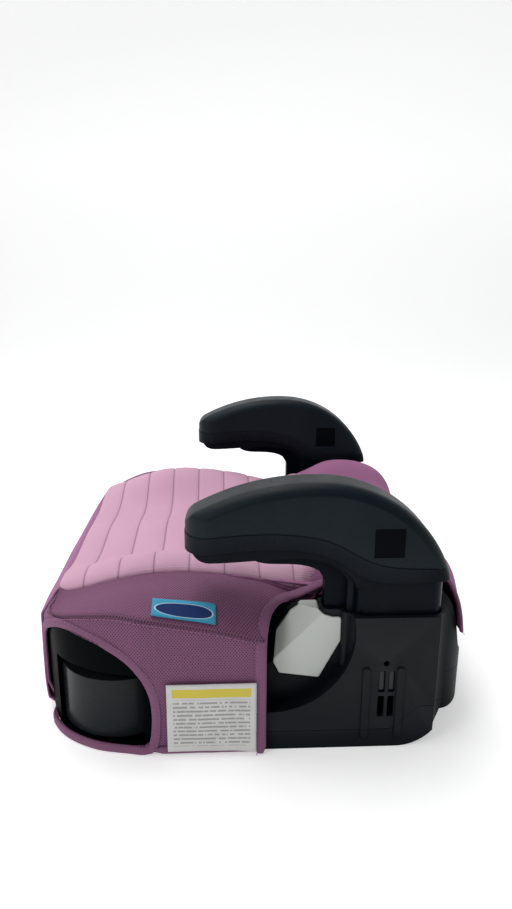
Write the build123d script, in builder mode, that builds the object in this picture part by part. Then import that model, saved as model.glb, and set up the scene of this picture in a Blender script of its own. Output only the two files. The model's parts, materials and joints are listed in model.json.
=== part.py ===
"""A backless booster seat for a car: a two-part moulded base with pull-out cup holders, a padded fabric
cover, and two armrests that click up and down in sockets moulded into the base.

Frame: millimetres, +Z up, the floor at Z = 0, the seat's front towards -Y and the sitter's left towards +X.
Everything on the left side is modelled once and mirrored in the YZ plane for the right side.
"""

import os

from build123d import *

# ---------------------------------------------------------------- base
HALF_WIDTH = 198.0  # outer face of the base and of the armrest sockets
BODY_HALF_WIDTH = 150.0  # behind the sockets the base is narrower
FRONT_Y = -197.5
REAR_Y = 193.0
WALL = 3.0
FLOOR = 3.5
FRONT_HEEL, REAR_HEEL = 42.0, 30.0  # radii of the lower corners, seen from the side

# fabric and padding on top of the plastic
FABRIC = 2.0
SKIRT_GAP = 0.3  # between the plastic and the fabric on the sides
SEAT_BUILDUP = 13.0  # from the plastic to the top of the fabric
CLEAR = 0.2  # between layers that lie on each other

# The seat's top surface as cross-sections from front to rear. Each row holds y and the height of the
# fabric at the outer edge, at the outside of the side bolster, on its crest and across the flat middle.
SEAT_SECTIONS = [
    (-215.0, 96.0, 97.0, 96.0, 92.0),
    (-190.0, 106.0, 108.0, 109.0, 106.0),
    (-165.0, 113.0, 115.0, 121.0, 115.0),
    (-140.0, 121.0, 124.0, 130.0, 117.0),
    (-100.0, 123.0, 133.0, 141.0, 120.0),
    (-70.0, 118.0, 135.5, 142.0, 120.5),
    (-35.0, 111.5, 133.0, 138.0, 120.0),
    (-5.0, 104.0, 128.0, 132.0, 119.0),
    (20.0, 101.0, 119.0, 127.0, 118.0),
    (42.0, 101.0, 111.5, 129.0, 117.0),
    (70.0, 108.0, 118.0, 141.0, 118.0),
    (118.0, 118.0, 145.0, 152.0, 121.0),
    (150.0, 112.0, 137.0, 143.0, 125.0),
    (170.0, 96.0, 110.0, 116.0, 116.0),
    (200.0, 68.0, 72.0, 76.0, 82.0),
]
FLAT_X, CREST_X, SHOULDER_X, FLANK_X = 88.0, 132.0, 150.0, 174.0
FLANK_SHARE = 0.6  # the flank lies this far up from the edge to the shoulder
SECTION_HALF = 226.0  # the sections run past the side walls, which the plan outline trims
SECTION_LOW = -30.0

# armrest sockets ("pods") at the sides of the base
POD_INNER_X = 147.5
POD_REAR_Y = 150.5
POD_TOP = 119.0
POD_CORNER = 9.0
POD_HEEL = 40.0
HORN_TOP = 119.4  # top of the socket wall around the front rib of the armrest
HORN_LOW = 70.0
HORN_END_Y = 51.0
BLOCK_FRONT_Y = 43.0  # the socket block is solid around its well from here to the rear
BEHIND_RECESS_Z = 60.0
SHELF_TOP = 103.0  # ledge that the lap belt lies on, between seat and recess

# parting line between the lower tray and the upper shell
SEAM_Z, SEAM_REAR_Z = 17.0, 38.0
SEAM_STEP_Y = (107.0, 129.0)
SEAM_ROUND = 9.0
SEAM_GAP = 0.4

# round recess in the side, where the lap belt passes under the armrest
BELT_Y, BELT_Z, BELT_R = 4.5, 104.0, 69.0
BELT_FACE_X = 182.0
RAMP_RIDGE = (BELT_FACE_X, 21.5, 88.0)  # a point on the edge where the recess turns in over the ledge
RAMP_NORMAL = (537.0, -364.0, 350.0)
RAMP_INNER_X, RAMP_TOP = 165.0, 117.0
GUIDE_THICKNESS = 2.0
GUIDE_OUTLINE = [
    (42.5, 127.0), (44.5, 119.0), (50.5, 115.0), (56.5, 113.0), (63.6, 113.0), (63.6, 92.0),
    (46.5, 58.0), (13.5, 63.0), (8.5, 73.0), (11.5, 96.0), (23.5, 112.0),
]
GUIDE_ROUND = 2.5

# armrests, in the upper of their two positions
ARM_X = 172.0
BAND_HALF, COLUMN_HALF, STEP_HALF, RIB_HALF = 22.0, 20.8, 12.0, 6.5
COLUMN_FRONT_Y, COLUMN_REAR_Y = 72.5, 144.5
STEP_FRONT_Y, RIB_FRONT_Y = 67.5, 50.0
COLUMN_CORNER = 10.0
BEAM_FRONT_Y, BEAM_CORNER = -60.3, 18.8
BEAM_LOW = 143.0  # above the socket by more than the armrest sinks
LEG_BOTTOM = 44.0
ARM_WALL = 2.6
SOCKET_GAP = 0.9
RIM_STEP = 0.6  # the socket wall ends a little below the pod's rim
ARM_TOP_ROUND, ARM_CROWN_WALL = 12.0, 6.0
ARM_TIP_Y, ARM_BACK_Y, ARM_BACK_Z = -62.5, 148.5, 155.0
CAP_STEP = 0.6  # the cap sits back from the band below it
ARM_TIP_Z, ARM_TIP_R, ARM_TIP_TURN = 190.0, 16.0, 62.0
ARM_CREST_TOP, ARM_CREST_END = (50.0, 227.2), (84.0, 220.0)
ARM_SEAM_LINE = [
    (-70.0, 188.0), (-57.0, 186.0), (-29.0, 187.5), (5.0, 189.0), (30.0, 187.0), (51.0, 182.0),
    (66.0, 174.5),
    (80.0, 166.5), (96.0, 161.0), (112.0, 159.0), (135.0, 158.5), (160.0, 158.5),
]
BAND_LOW_LINE = [
    (-70.0, 173.0), (-35.0, 173.5), (-10.0, 176.0), (12.0, 176.0), (34.0, 174.0), (52.0, 168.5),
    (66.0, 160.0),
    (78.0, 152.0), (94.0, 147.5), (115.0, 146.5), (156.0, 146.5),
]
HOLLOW_LOW_LINE = [
    (-58.0, 180.0), (-50.0, 172.0), (-10.0, 170.5), (28.0, 172.0), (50.0, 169.0), (66.0, 161.5),
    (75.1, 149.0),
    (141.9, 149.0), (141.9, 152.0), (160.0, 152.0),
]
COLUMN_UNDER_LINE = [
    (-56.0, 171.0), (-51.0, 167.0), (-40.0, 165.5), (-10.0, 167.0), (25.0, 168.5), (48.0, 166.0),
    (63.0, 158.0), (72.5, 144.5),
]
STEP_UNDER_LINE = [(2.0, 167.0), (20.0, 165.5), (44.0, 162.0), (58.0, 156.0), (67.5, 144.5)]
RIB_UNDER_LINE = [(-13.0, 166.0), (-6.0, 160.5), (8.0, 158.0), (34.0, 156.0), (45.0, 151.5)]
INLAY_SIZE, INLAY_CENTRE, INLAY_DEPTH = 24.0, (97.5, 180.5), 0.8

# latch in the outer face of each armrest leg: a tongue with two fingers that stand in the socket's slots
FINGER_Y = (96.5, 104.5)
FINGER_WIDTH, FINGER_LOW, FINGER_HIGH, FINGER_TIP_X = 4.2, 53.0, 70.0, 196.3
TONGUE_X = (188.6, 191.4)
TONGUE_Y = (90.0, 111.0)
TONGUE_LOW, TONGUE_HIGH = 46.0, 99.0
PIVOT_X, PIVOT_Z, PIVOT_R, PIVOT_GAP = 190.0, 96.5, 1.5, 0.05
SLOT_WIDTH, SLOT_HIGH_Z, SLOT_TALL = 5.4, 61.5, 19.5
ARM_TRAVEL = 23.0
SLOT_SKIN_X = 196.9  # the web between the upper and lower slots is relieved from the inside to here
RELEASE_HOLE_Y, RELEASE_HOLE_Z, RELEASE_HOLE_R = 99.5, 78.0, 2.5

# screws
BOSS_SPOTS = [(x, y) for x in (-72.0, 72.0) for y in (-62.0, 40.0, 140.0)]
BOSS_R, BOSS_JOINT_Z = 6.0, 26.0
SCREW_R, SCREW_HEAD_R, SCREW_HEAD_TALL, SCREW_LENGTH = 1.8, 4.0, 2.4, 34.0
SCREW_SINK = 12.0  # depth of the head recess below the tray floor's inside
ARM_SCREWS = [(-36.0, 170.0, 181.0), (110.0, 150.5, 154.0)]  # y, seat of the head, joint of body and cap
ARM_SCREW_R, ARM_SCREW_HEAD_R = 1.5, 3.2
ARM_BOSS_R = 4.0

# cup holders: trays that slide out sideways at the front corners
CUP_FRONT_Y, CUP_REAR_Y = -171.0, -98.0
CUP_LOW, CUP_HIGH = 8.5, 62.0
CUP_NOSE_X, CUP_NOSE_Y, CUP_NOSE_R = 136.0, -121.0, 53.0
CUP_BORE_X, CUP_BORE_R = 137.0, 33.5
CUP_FLOOR, CUP_WALL, CUP_TAIL_X = 2.6, 2.5, 22.0
WINDOW_GAP, WINDOW_TOP = 1.3, 72.0
RAIL_TOP, RAIL_WALL, RAIL_X = 24.0, 2.5, (20.0, 140.0)

# details on the outside of the sockets
RIB_Y, RIB_WIDTH, RIB_LOW, RIB_HIGH, RIB_PROUD = (83.5, 111.5), 6.4, 9.0, 75.0, 1.5

# cover trim
COVER_LOW = 3.0
HIP_HEM = [
    (60.0, 104.0), (72.0, 111.0), (88.0, 126.0), (104.0, 138.0), (120.0, 143.0), (138.0, 140.0),
    (153.0, 131.0), (165.0, 117.0), (173.0, 100.0), (177.0, 86.0),
]
REAR_HEM_Z = 77.0
CUP_ARCH = [
    (-184.0, 84.0), (-172.0, 100.0), (-161.5, 105.5), (-140.0, 102.5), (-122.5, 94.0), (-108.5, 84.0),
    (-98.0, 71.0), (-91.5, 55.0), (-89.5, 40.0), (-92.0, 20.0),
]
INSERT_OUTLINE = [
    (0.0, -176.0), (128.0, -176.0), (142.0, -160.0), (145.5, -120.0), (145.5, 20.0), (142.0, 48.0),
    (124.0, 62.0), (104.0, 80.0), (94.0, 110.0), (90.0, 164.0), (0.0, 164.0),
]
LOOP_Y = (-80.0, -30.0)
LOOP_WIDTH, LOOP_THICK, LOOP_INNER_X, GROOVE_DEEP = 12.0, 1.0, 165.0, 2.0
PEG_R = 2.6

os.makedirs("parts", exist_ok=True)


def finish(part, name):
    """Label a piece and write its file."""
    part.label = name
    export_step(part, f"parts/{name}.step")


def finish_pair(part, name):
    """Write a left-hand piece and its mirror image for the right."""
    finish(part, f"{name}_left")
    finish(mirror(part, about=Plane.YZ), f"{name}_right")


# ---------------------------------------------------------------- shared outlines and masses
def plan_face(grow):
    """The base seen from above, every point of its outline moved outwards by grow."""
    rear_points = [
        (0, REAR_Y + grow), (70 + 0.08 * grow, REAR_Y - 2.6 + grow), (128 + 0.3 * grow, 184.5 + 0.95 * grow),
    ]
    nose_points = [
        (HALF_WIDTH + grow, -100), (187.5 + 0.93 * grow, -141 - 0.37 * grow),
        (164 + 0.62 * grow, -171 - 0.78 * grow), (120 + 0.25 * grow, -190 - 0.97 * grow),
        (0, FRONT_Y - grow),
    ]
    pod_rear = POD_REAR_Y + grow
    with BuildSketch() as sketch:
        with BuildLine():
            rear = ThreePointArc(*rear_points)
            corner = TangentArc(rear @ 1, (BODY_HALF_WIDTH + grow, 160), tangent=rear % 1)
            flank = Line(corner @ 1, (BODY_HALF_WIDTH + grow, pod_rear))
            heel = Line(flank @ 1, (HALF_WIDTH + grow - POD_CORNER, pod_rear))
            pod = RadiusArc(heel @ 1, (HALF_WIDTH + grow, pod_rear - POD_CORNER), -POD_CORNER)
            side = Line(pod @ 1, nose_points[0])
            nose = Spline(*nose_points, tangents=[(0, -1), (-1, 0)])
            Line(nose @ 1, rear @ 0)
        make_face()
        mirror(about=Plane.YZ)
    return sketch.sketch


def side_face(grow, low):
    """The base seen from the side: a leaning front, with the corners at the floor rounded."""
    with BuildSketch(Plane.YZ) as sketch:
        with BuildLine():
            Polyline(
                (-150 - grow, 190), (-171 - grow, 118), (FRONT_Y + 1.5 - grow, 78), (FRONT_Y - grow, 60),
                (FRONT_Y - grow, low), (REAR_Y + grow + 4, low), (REAR_Y + grow + 4, 190), close=True,
            )
        make_face()
        fillet(sketch.vertices().group_by(Axis.Y)[0].sort_by(Axis.X)[0], radius=FRONT_HEEL)
        fillet(sketch.vertices().group_by(Axis.Y)[0].sort_by(Axis.X)[-1], radius=REAR_HEEL)
    return sketch.sketch


def profile(points, plane=Plane.YZ):
    """A closed straight-sided outline."""
    with BuildSketch(plane) as sketch:
        with BuildLine():
            Polyline(*points, close=True)
        make_face()
    return sketch.sketch


def curved_profile(curve_points, corner_points, plane=Plane.YZ):
    """A closed outline: one smooth curve, closed by straight lines through the corner points."""
    with BuildSketch(plane) as sketch:
        with BuildLine():
            curve = Spline(*curve_points)
            Polyline(curve @ 1, *corner_points, curve @ 0)
        make_face()
    return sketch.sketch


with BuildPart() as seat_mass:
    for y, edge, shoulder, crest, middle in SEAT_SECTIONS:
        flank_z = edge + FLANK_SHARE * (shoulder - edge)
        half = [
            (FLAT_X, middle), (CREST_X, crest), (SHOULDER_X, shoulder), (FLANK_X, flank_z),
            (HALF_WIDTH, edge), (SECTION_HALF, edge - 8),
        ]
        with BuildSketch(Plane.XZ.offset(-y)):
            with BuildLine():
                across = Spline(*[(-x, z) for x, z in reversed(half)], (0, middle), *half)
                Polyline(across @ 1, (SECTION_HALF, SECTION_LOW), (-SECTION_HALF, SECTION_LOW), across @ 0)
            make_face()
    loft()


def seat_below(drop, grow, low):
    """Everything below the seat's top surface lowered by drop, inside the walls moved out by grow."""
    plan = plan_face(grow)
    side = side_face(grow, low)
    with BuildPart() as mass:
        with Locations((0, 0, -drop)):
            add(seat_mass.part)
        extrude(plan, amount=250, mode=Mode.INTERSECT)
        extrude(side, amount=260, both=True, mode=Mode.INTERSECT)
    return mass.part


def side_box(x_low, x_high, y_low, y_high, z_low, z_high):
    """A block given by its limits, on the left side."""
    with BuildPart() as block:
        with Locations(((x_low + x_high) / 2, (y_low + y_high) / 2, (z_low + z_high) / 2)):
            Box(x_high - x_low, y_high - y_low, z_high - z_low)
    return block.part


def both_sides(part):
    """A left-hand shape together with its mirror image."""
    with BuildPart() as pair:
        add(part)
        mirror(part, about=Plane.YZ)
    return pair.part


def belt_core(extra):
    """What stays of the base behind the belt recess: a face, a slanted ramp and a flat top."""
    ramp = Plane(origin=RAMP_RIDGE, z_dir=RAMP_NORMAL).offset(extra)
    with BuildPart() as core:
        add(side_box(100, BELT_FACE_X + extra, -0.5, 74, 20, RAMP_TOP + extra))
        split(bisect_by=ramp, keep=Keep.BOTTOM)
    return core.part


def socket_face(grow):
    """The armrest leg seen from above, its outline moved outwards by grow."""
    with BuildSketch() as sketch:
        middle_y = (COLUMN_FRONT_Y + COLUMN_REAR_Y) / 2
        with Locations((ARM_X, middle_y)):
            RectangleRounded(2 * COLUMN_HALF, COLUMN_REAR_Y - COLUMN_FRONT_Y, COLUMN_CORNER)
        with Locations((ARM_X, (STEP_FRONT_Y + middle_y) / 2)):
            Rectangle(2 * STEP_HALF, middle_y - STEP_FRONT_Y)
        with Locations((ARM_X, (RIB_FRONT_Y + middle_y) / 2)):
            Rectangle(2 * RIB_HALF, middle_y - RIB_FRONT_Y)
        if grow:
            offset(amount=grow, kind=Kind.ARC)
    return sketch.sketch


# ---------------------------------------------------------------- the base as one closed mass and its hollow
zone_above_shelf = side_box(POD_INNER_X, 240, -0.5, POD_REAR_Y, SHELF_TOP, 220)


def recess_cut(wall):
    """The round recess, cut in from the side, leaving wall behind its face."""
    with BuildPart() as cut:
        with BuildSketch(Plane.YZ.offset(BELT_FACE_X - wall)):
            with Locations((BELT_Y, BELT_Z)):
                Circle(BELT_R + wall)
        extrude(amount=60)
    return cut.part


def ramp_cut(extra):
    """What the belt recess takes away above the ramp."""
    with BuildPart() as cut:
        add(side_box(RAMP_INNER_X + extra, 240, 0 + extra, 72, 60, 180))
        add(belt_core(extra), mode=Mode.SUBTRACT)
        with BuildSketch(Plane.YZ.offset(100)):
            with Locations((BELT_Y, BELT_Z)):
                Circle(BELT_R - extra)
        extrude(amount=140, mode=Mode.INTERSECT)
    return cut.part


with BuildSketch(Plane.YZ) as heel_cut:
    with BuildLine():
        heel_arc = RadiusArc((POD_REAR_Y - POD_HEEL, 0), (POD_REAR_Y, POD_HEEL), -POD_HEEL)
        Polyline(
            heel_arc @ 1, (POD_REAR_Y + 20, POD_HEEL), (POD_REAR_Y + 20, -5), (POD_REAR_Y - POD_HEEL, -5),
            heel_arc @ 0,
        )
    make_face()

socket_top = profile([
    (30, HORN_LOW), (30, HORN_TOP), (HORN_END_Y, HORN_TOP),
    (COLUMN_FRONT_Y + 1, POD_TOP - RIM_STEP), (85, 110),
    (85, HORN_LOW),
])
seam_low = [
    (-260, -20), (-260, SEAM_Z), (SEAM_STEP_Y[0], SEAM_Z), (SEAM_STEP_Y[1], SEAM_REAR_Z), (260, SEAM_REAR_Z),
    (260, -20),
]


def below_seam(shift):
    """Everything under the parting line, moved up by shift."""
    with BuildSketch(Plane.YZ) as sketch:
        with BuildLine():
            Polyline(*[(y, z + shift if z > 0 else z) for y, z in seam_low], close=True)
        make_face()
        steps = sketch.vertices().filter_by_position(Axis.X, 90, 150)
        fillet(steps, radius=SEAM_ROUND)
    with BuildPart() as region:
        extrude(sketch.sketch, amount=260, both=True)
    return region.part


with BuildPart() as heel:
    extrude(heel_cut.sketch, amount=260)
    add(side_box(BODY_HALF_WIDTH, 260, 0, 260, -10, 60), mode=Mode.INTERSECT)

with BuildPart() as horn:
    extrude(socket_face(SOCKET_GAP + WALL), amount=HORN_TOP)
    extrude(socket_top, amount=260, mode=Mode.INTERSECT)

with BuildPart() as socket_well:
    extrude(socket_face(SOCKET_GAP), amount=HORN_TOP + 20)
    add(side_box(100, 240, 0, 200, FLOOR, 200), mode=Mode.INTERSECT)
    with Locations((0, -0.8 * WALL, 0.8 * WALL)):
        add(heel.part, mode=Mode.SUBTRACT)

with BuildPart() as bulk:
    add(seat_below(SEAT_BUILDUP, 0, 0))
    add(both_sides(zone_above_shelf), mode=Mode.SUBTRACT)
    add(both_sides(side_box(POD_INNER_X - 5, HALF_WIDTH + 5, 60, POD_REAR_Y, 20, POD_TOP)))
    add(both_sides(side_box(POD_INNER_X - 5, RAMP_INNER_X + 10, 0, 70, 60, SHELF_TOP)))
    add(both_sides(side_box(RAMP_INNER_X, BELT_FACE_X, 0, 70, 60, RAMP_TOP)))
    extrude(plan_face(0), amount=250, mode=Mode.INTERSECT)
    add(both_sides(heel.part), mode=Mode.SUBTRACT)

with BuildPart() as cavity:
    add(seat_below(SEAT_BUILDUP + WALL, -WALL, FLOOR))
    add(both_sides(side_box(POD_INNER_X - WALL, 240, -WALL, POD_REAR_Y + WALL, BEHIND_RECESS_Z, 220)),
        mode=Mode.SUBTRACT)
    add(both_sides(side_box(POD_INNER_X - WALL, 240, BLOCK_FRONT_Y, POD_REAR_Y + WALL, -5, 100)),
        mode=Mode.SUBTRACT)
    add(both_sides(recess_cut(WALL)), mode=Mode.SUBTRACT)

with BuildPart() as boss_posts:
    with Locations(*BOSS_SPOTS):
        Cylinder(BOSS_R, 125, align=(Align.CENTER, Align.CENTER, Align.MIN))

screw_bores = extrude(Sketch() + [Location((x, y)) * Circle(SCREW_R + 0.05) for x, y in BOSS_SPOTS],
                      amount=BOSS_JOINT_Z + 22)


# ---------------------------------------------------------------- side details that shell and tray share
def window_box():
    """The opening that a cup holder slides through."""
    return side_box(100, 240, CUP_FRONT_Y - WINDOW_GAP, CUP_REAR_Y + WINDOW_GAP, CUP_LOW - WINDOW_GAP,
                    WINDOW_TOP)


with BuildPart() as grip_ribs:
    with BuildSketch(Plane.YZ.offset(HALF_WIDTH - 1)):
        with Locations(*[(y, (RIB_LOW + RIB_HIGH) / 2) for y in RIB_Y]):
            SlotOverall(RIB_HIGH - RIB_LOW, RIB_WIDTH, rotation=90)
    extrude(amount=1 + RIB_PROUD)
    fillet(grip_ribs.faces().sort_by(Axis.X)[-2:].edges(), radius=1.0)
    add(heel.part, mode=Mode.SUBTRACT)

with BuildPart() as upper_grip_ribs:
    add(grip_ribs.part)
    add(below_seam(SEAM_GAP / 2), mode=Mode.SUBTRACT)

with BuildPart() as lower_grip_ribs:
    add(grip_ribs.part)
    add(below_seam(-SEAM_GAP / 2), mode=Mode.INTERSECT)

with BuildPart() as slots:
    for z in (SLOT_HIGH_Z, SLOT_HIGH_Z - ARM_TRAVEL):
        with BuildSketch(Plane.YZ.offset(COLUMN_HALF + ARM_X - 4)):
            with Locations(*[(y, z) for y in FINGER_Y]):
                RectangleRounded(SLOT_WIDTH, SLOT_TALL, 1.0)
        extrude(amount=20)
    with BuildSketch(Plane.YZ.offset(COLUMN_HALF + ARM_X - 4)):
        with Locations(*[(y, SLOT_HIGH_Z - ARM_TRAVEL / 2) for y in FINGER_Y]):
            Rectangle(SLOT_WIDTH, ARM_TRAVEL)
    extrude(amount=SLOT_SKIN_X - (COLUMN_HALF + ARM_X - 4))
    with BuildSketch(Plane.YZ.offset(COLUMN_HALF + ARM_X - 4)):
        with Locations((RELEASE_HOLE_Y, RELEASE_HOLE_Z)):
            Circle(RELEASE_HOLE_R)
    extrude(amount=20)

# ---------------------------------------------------------------- upper shell
with BuildPart() as upper_bosses:
    add(boss_posts.part)
    add(side_box(-200, 200, -200, 200, BOSS_JOINT_Z + CLEAR, 200), mode=Mode.INTERSECT)
    with Locations((0, 0, -WALL / 2)):
        add(bulk.part, mode=Mode.INTERSECT)

with BuildPart() as seat_shell:
    add(bulk.part)
    add(below_seam(SEAM_GAP / 2), mode=Mode.SUBTRACT)
    add(cavity.part, mode=Mode.SUBTRACT)
    add(both_sides(recess_cut(0)), mode=Mode.SUBTRACT)
    add(both_sides(ramp_cut(0)), mode=Mode.SUBTRACT)
    add(both_sides(horn.part))
    add(upper_bosses.part)
    add(both_sides(upper_grip_ribs.part))
    add(both_sides(socket_well.part), mode=Mode.SUBTRACT)
    add(both_sides(slots.part), mode=Mode.SUBTRACT)
    add(both_sides(window_box()), mode=Mode.SUBTRACT)
    add(screw_bores, mode=Mode.SUBTRACT)
finish(seat_shell.part, "seat_shell")

# ---------------------------------------------------------------- lower tray
with BuildPart() as base_tray:
    add(bulk.part)
    add(below_seam(-SEAM_GAP / 2), mode=Mode.INTERSECT)
    add(cavity.part, mode=Mode.SUBTRACT)
    with Locations(*BOSS_SPOTS):
        Cylinder(BOSS_R, BOSS_JOINT_Z, align=(Align.CENTER, Align.CENTER, Align.MIN))
    for side in (-1, 1):
        middle_x = side * sum(RAIL_X) / 2
        rail_long = RAIL_X[1] - RAIL_X[0]
        for rail_y in (CUP_FRONT_Y - 0.6 - RAIL_WALL / 2, CUP_REAR_Y + 0.6 + RAIL_WALL / 2):
            with Locations((middle_x, rail_y, 1)):
                Box(rail_long, RAIL_WALL, RAIL_TOP - 1, align=(Align.CENTER, Align.CENTER, Align.MIN))
        for runner_y in (CUP_FRONT_Y + 12, CUP_REAR_Y - 12):
            with Locations((middle_x, runner_y, 1)):
                Box(rail_long, 4, CUP_LOW - CLEAR - 1, align=(Align.CENTER, Align.CENTER, Align.MIN))
    add(both_sides(lower_grip_ribs.part))
    add(both_sides(window_box()), mode=Mode.SUBTRACT)
    add(both_sides(socket_well.part), mode=Mode.SUBTRACT)
    with Locations(*[(x, y, 0) for x, y in BOSS_SPOTS]):
        Cylinder(SCREW_HEAD_R + 0.4, SCREW_SINK, align=(Align.CENTER, Align.CENTER, Align.MIN),
                 mode=Mode.SUBTRACT)
        Cylinder(SCREW_R + 0.15, 60, align=(Align.CENTER, Align.CENTER, Align.MIN), mode=Mode.SUBTRACT)
    for side in (-1, 1):
        for loop_y in LOOP_Y:
            with Locations((side * (LOOP_INNER_X - 3), loop_y, 0)):
                groove_align = (Align.MIN if side > 0 else Align.MAX, Align.CENTER, Align.MIN)
                Box(60, LOOP_WIDTH + 1, GROOVE_DEEP, align=groove_align, mode=Mode.SUBTRACT)
            with Locations((side * (LOOP_INNER_X + 5), loop_y, 0.3)):
                Cylinder(PEG_R, GROOVE_DEEP + 0.5, align=(Align.CENTER, Align.CENTER, Align.MIN))
finish(base_tray.part, "base_tray")

with BuildPart() as tray_screws:
    with Locations(*[(x, y, SCREW_SINK - SCREW_HEAD_TALL) for x, y in BOSS_SPOTS]):
        Cylinder(SCREW_HEAD_R, SCREW_HEAD_TALL, align=(Align.CENTER, Align.CENTER, Align.MIN))
        for turn in (0, 90):
            Box(1.0, 4.4, 1.2, rotation=(0, 0, turn), align=(Align.CENTER, Align.CENTER, Align.MIN),
                mode=Mode.SUBTRACT)
    with Locations(*[(x, y, SCREW_SINK) for x, y in BOSS_SPOTS]):
        Cylinder(SCREW_R, SCREW_LENGTH, align=(Align.CENTER, Align.CENTER, Align.MIN))
finish(tray_screws.part, "tray_screws")

# ---------------------------------------------------------------- belt guides
with BuildPart() as belt_guide:
    with BuildSketch(Plane.YZ.offset(RAMP_INNER_X)) as guide_outline:
        with BuildLine():
            Polyline(*GUIDE_OUTLINE, close=True)
        make_face()
        fillet(guide_outline.vertices(), radius=GUIDE_ROUND)
    extrude(amount=40)
    add(belt_core(GUIDE_THICKNESS), mode=Mode.INTERSECT)
    add(belt_core(0), mode=Mode.SUBTRACT)
    extrude(socket_face(SOCKET_GAP + WALL + CLEAR), amount=200, mode=Mode.SUBTRACT)
finish_pair(belt_guide.part, "belt_guide")

# ---------------------------------------------------------------- cup holders
def cup_outline(shrink):
    """The cup holder seen from above."""
    with BuildSketch() as sketch:
        with Locations((CUP_NOSE_X, CUP_NOSE_Y)):
            Circle(CUP_NOSE_R - shrink)
        with Locations(((CUP_TAIL_X + CUP_NOSE_X) / 2, CUP_NOSE_Y)):
            Rectangle(CUP_NOSE_X - CUP_TAIL_X, 120)
        with Locations(((CUP_TAIL_X + 200) / 2, (CUP_FRONT_Y + CUP_REAR_Y) / 2)):
            Rectangle(200 - CUP_TAIL_X, CUP_REAR_Y - CUP_FRONT_Y - 2 * shrink, mode=Mode.INTERSECT)
    return sketch.sketch


cup_bore_y = (CUP_FRONT_Y + CUP_REAR_Y) / 2
cup_block_x = CUP_BORE_X - CUP_BORE_R - CUP_WALL
with BuildPart() as cup_holder:
    extrude(cup_outline(0), amount=CUP_HIGH - CUP_LOW)
    with BuildPart(mode=Mode.PRIVATE) as cup_inside:
        extrude(cup_outline(CUP_WALL), amount=CUP_HIGH - CUP_LOW - CUP_WALL)
        with Locations((CUP_BORE_X, cup_bore_y, 0)):
            Cylinder(CUP_BORE_R + CUP_WALL, 100, mode=Mode.SUBTRACT)
    add(cup_inside.part, mode=Mode.SUBTRACT)
    with Locations((cup_block_x, cup_bore_y, CUP_FLOOR)):
        Box(120, 68, 100, align=(Align.MAX, Align.CENTER, Align.MIN), mode=Mode.SUBTRACT)
    with Locations((cup_block_x, cup_bore_y, 16)):
        Box(120, 90, 100, align=(Align.MAX, Align.CENTER, Align.MIN), mode=Mode.SUBTRACT)
    with Locations((CUP_TAIL_X, cup_bore_y, 0)):
        Box(cup_block_x - CUP_TAIL_X + 1, 68, CUP_FLOOR, align=(Align.MIN, Align.CENTER, Align.MIN))
    with Locations((CUP_BORE_X, cup_bore_y, CUP_FLOOR)):
        Cylinder(CUP_BORE_R, 100, align=(Align.CENTER, Align.CENTER, Align.MIN), mode=Mode.SUBTRACT)
finish_pair(Pos(0, 0, CUP_LOW) * cup_holder.part, "cup_holder")

# ---------------------------------------------------------------- armrests
def arm_plane():
    """Side profiles of the armrest are drawn on its middle plane."""
    return Plane.YZ.offset(ARM_X)


def crown_face(inset):
    """The armrest's top outline, closed far below it."""
    with BuildSketch(arm_plane()) as sketch:
        with BuildLine():
            tip = JernArc(
                start=(ARM_TIP_Y, ARM_TIP_Z), tangent=(0, 1), radius=ARM_TIP_R, arc_size=-ARM_TIP_TURN
            )
            rise = TangentArc(tip @ 1, ARM_CREST_TOP, tangent=tip % 1)
            crest = TangentArc(rise @ 1, ARM_CREST_END, tangent=rise % 1)
            back = TangentArc(crest @ 1, (ARM_BACK_Y, ARM_BACK_Z), tangent=crest % 1)
            Polyline(back @ 1, (ARM_BACK_Y, 100), (ARM_TIP_Y, 100), tip @ 0)
        make_face()
        if inset:
            offset(amount=-inset, kind=Kind.INTERSECTION)
    return sketch.sketch


below_band = curved_profile(BAND_LOW_LINE, [(156, 90), (-70, 90)], arm_plane())
below_cap = curved_profile(ARM_SEAM_LINE, [(160, 60), (-70, 60)], arm_plane())

with BuildSketch(arm_plane()) as beam_side:
    with BuildLine():
        under = Spline(*COLUMN_UNDER_LINE)
        Polyline(
            under @ 1, (COLUMN_FRONT_Y, 138), (COLUMN_FRONT_Y, LEG_BOTTOM), (COLUMN_REAR_Y - 20, LEG_BOTTOM),
            (COLUMN_REAR_Y, LEG_BOTTOM + 20), (COLUMN_REAR_Y, 152), (85, 157), (60, 173), (30, 181),
            (-56, 181),
            under @ 0,
        )
    make_face()

with BuildSketch() as arm_plan:
    with Locations((ARM_X, (ARM_TIP_Y + ARM_BACK_Y) / 2)):
        Rectangle(2 * BAND_HALF, ARM_BACK_Y - ARM_TIP_Y)
    fillet(arm_plan.vertices().group_by(Axis.Y)[0], radius=20)
    fillet(arm_plan.vertices().group_by(Axis.Y)[-1], radius=6)


def slab(face, half):
    """A side profile made as thick as twice half, centred on the armrest's middle plane."""
    return extrude(Pos(-half, 0, 0) * face, amount=2 * half)


def leg_block(half, front_y, rear_y, corner, low, high):
    """The upright of the armrest as a rounded column."""
    with BuildPart() as column:
        with BuildSketch(Plane.XY.offset(low)):
            with Locations((ARM_X, (front_y + rear_y) / 2)):
                RectangleRounded(2 * half, rear_y - front_y, corner)
        extrude(amount=high - low)
    return column.part


with BuildPart() as arm_mass:
    add(slab(crown_face(0), BAND_HALF))
    top_edges = arm_mass.edges().filter_by(GeomType.CIRCLE)
    fillet(top_edges, radius=ARM_TOP_ROUND)
    extrude(arm_plan.sketch, amount=260, mode=Mode.INTERSECT)
    add(slab(below_band, BAND_HALF + 2), mode=Mode.SUBTRACT)

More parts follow.
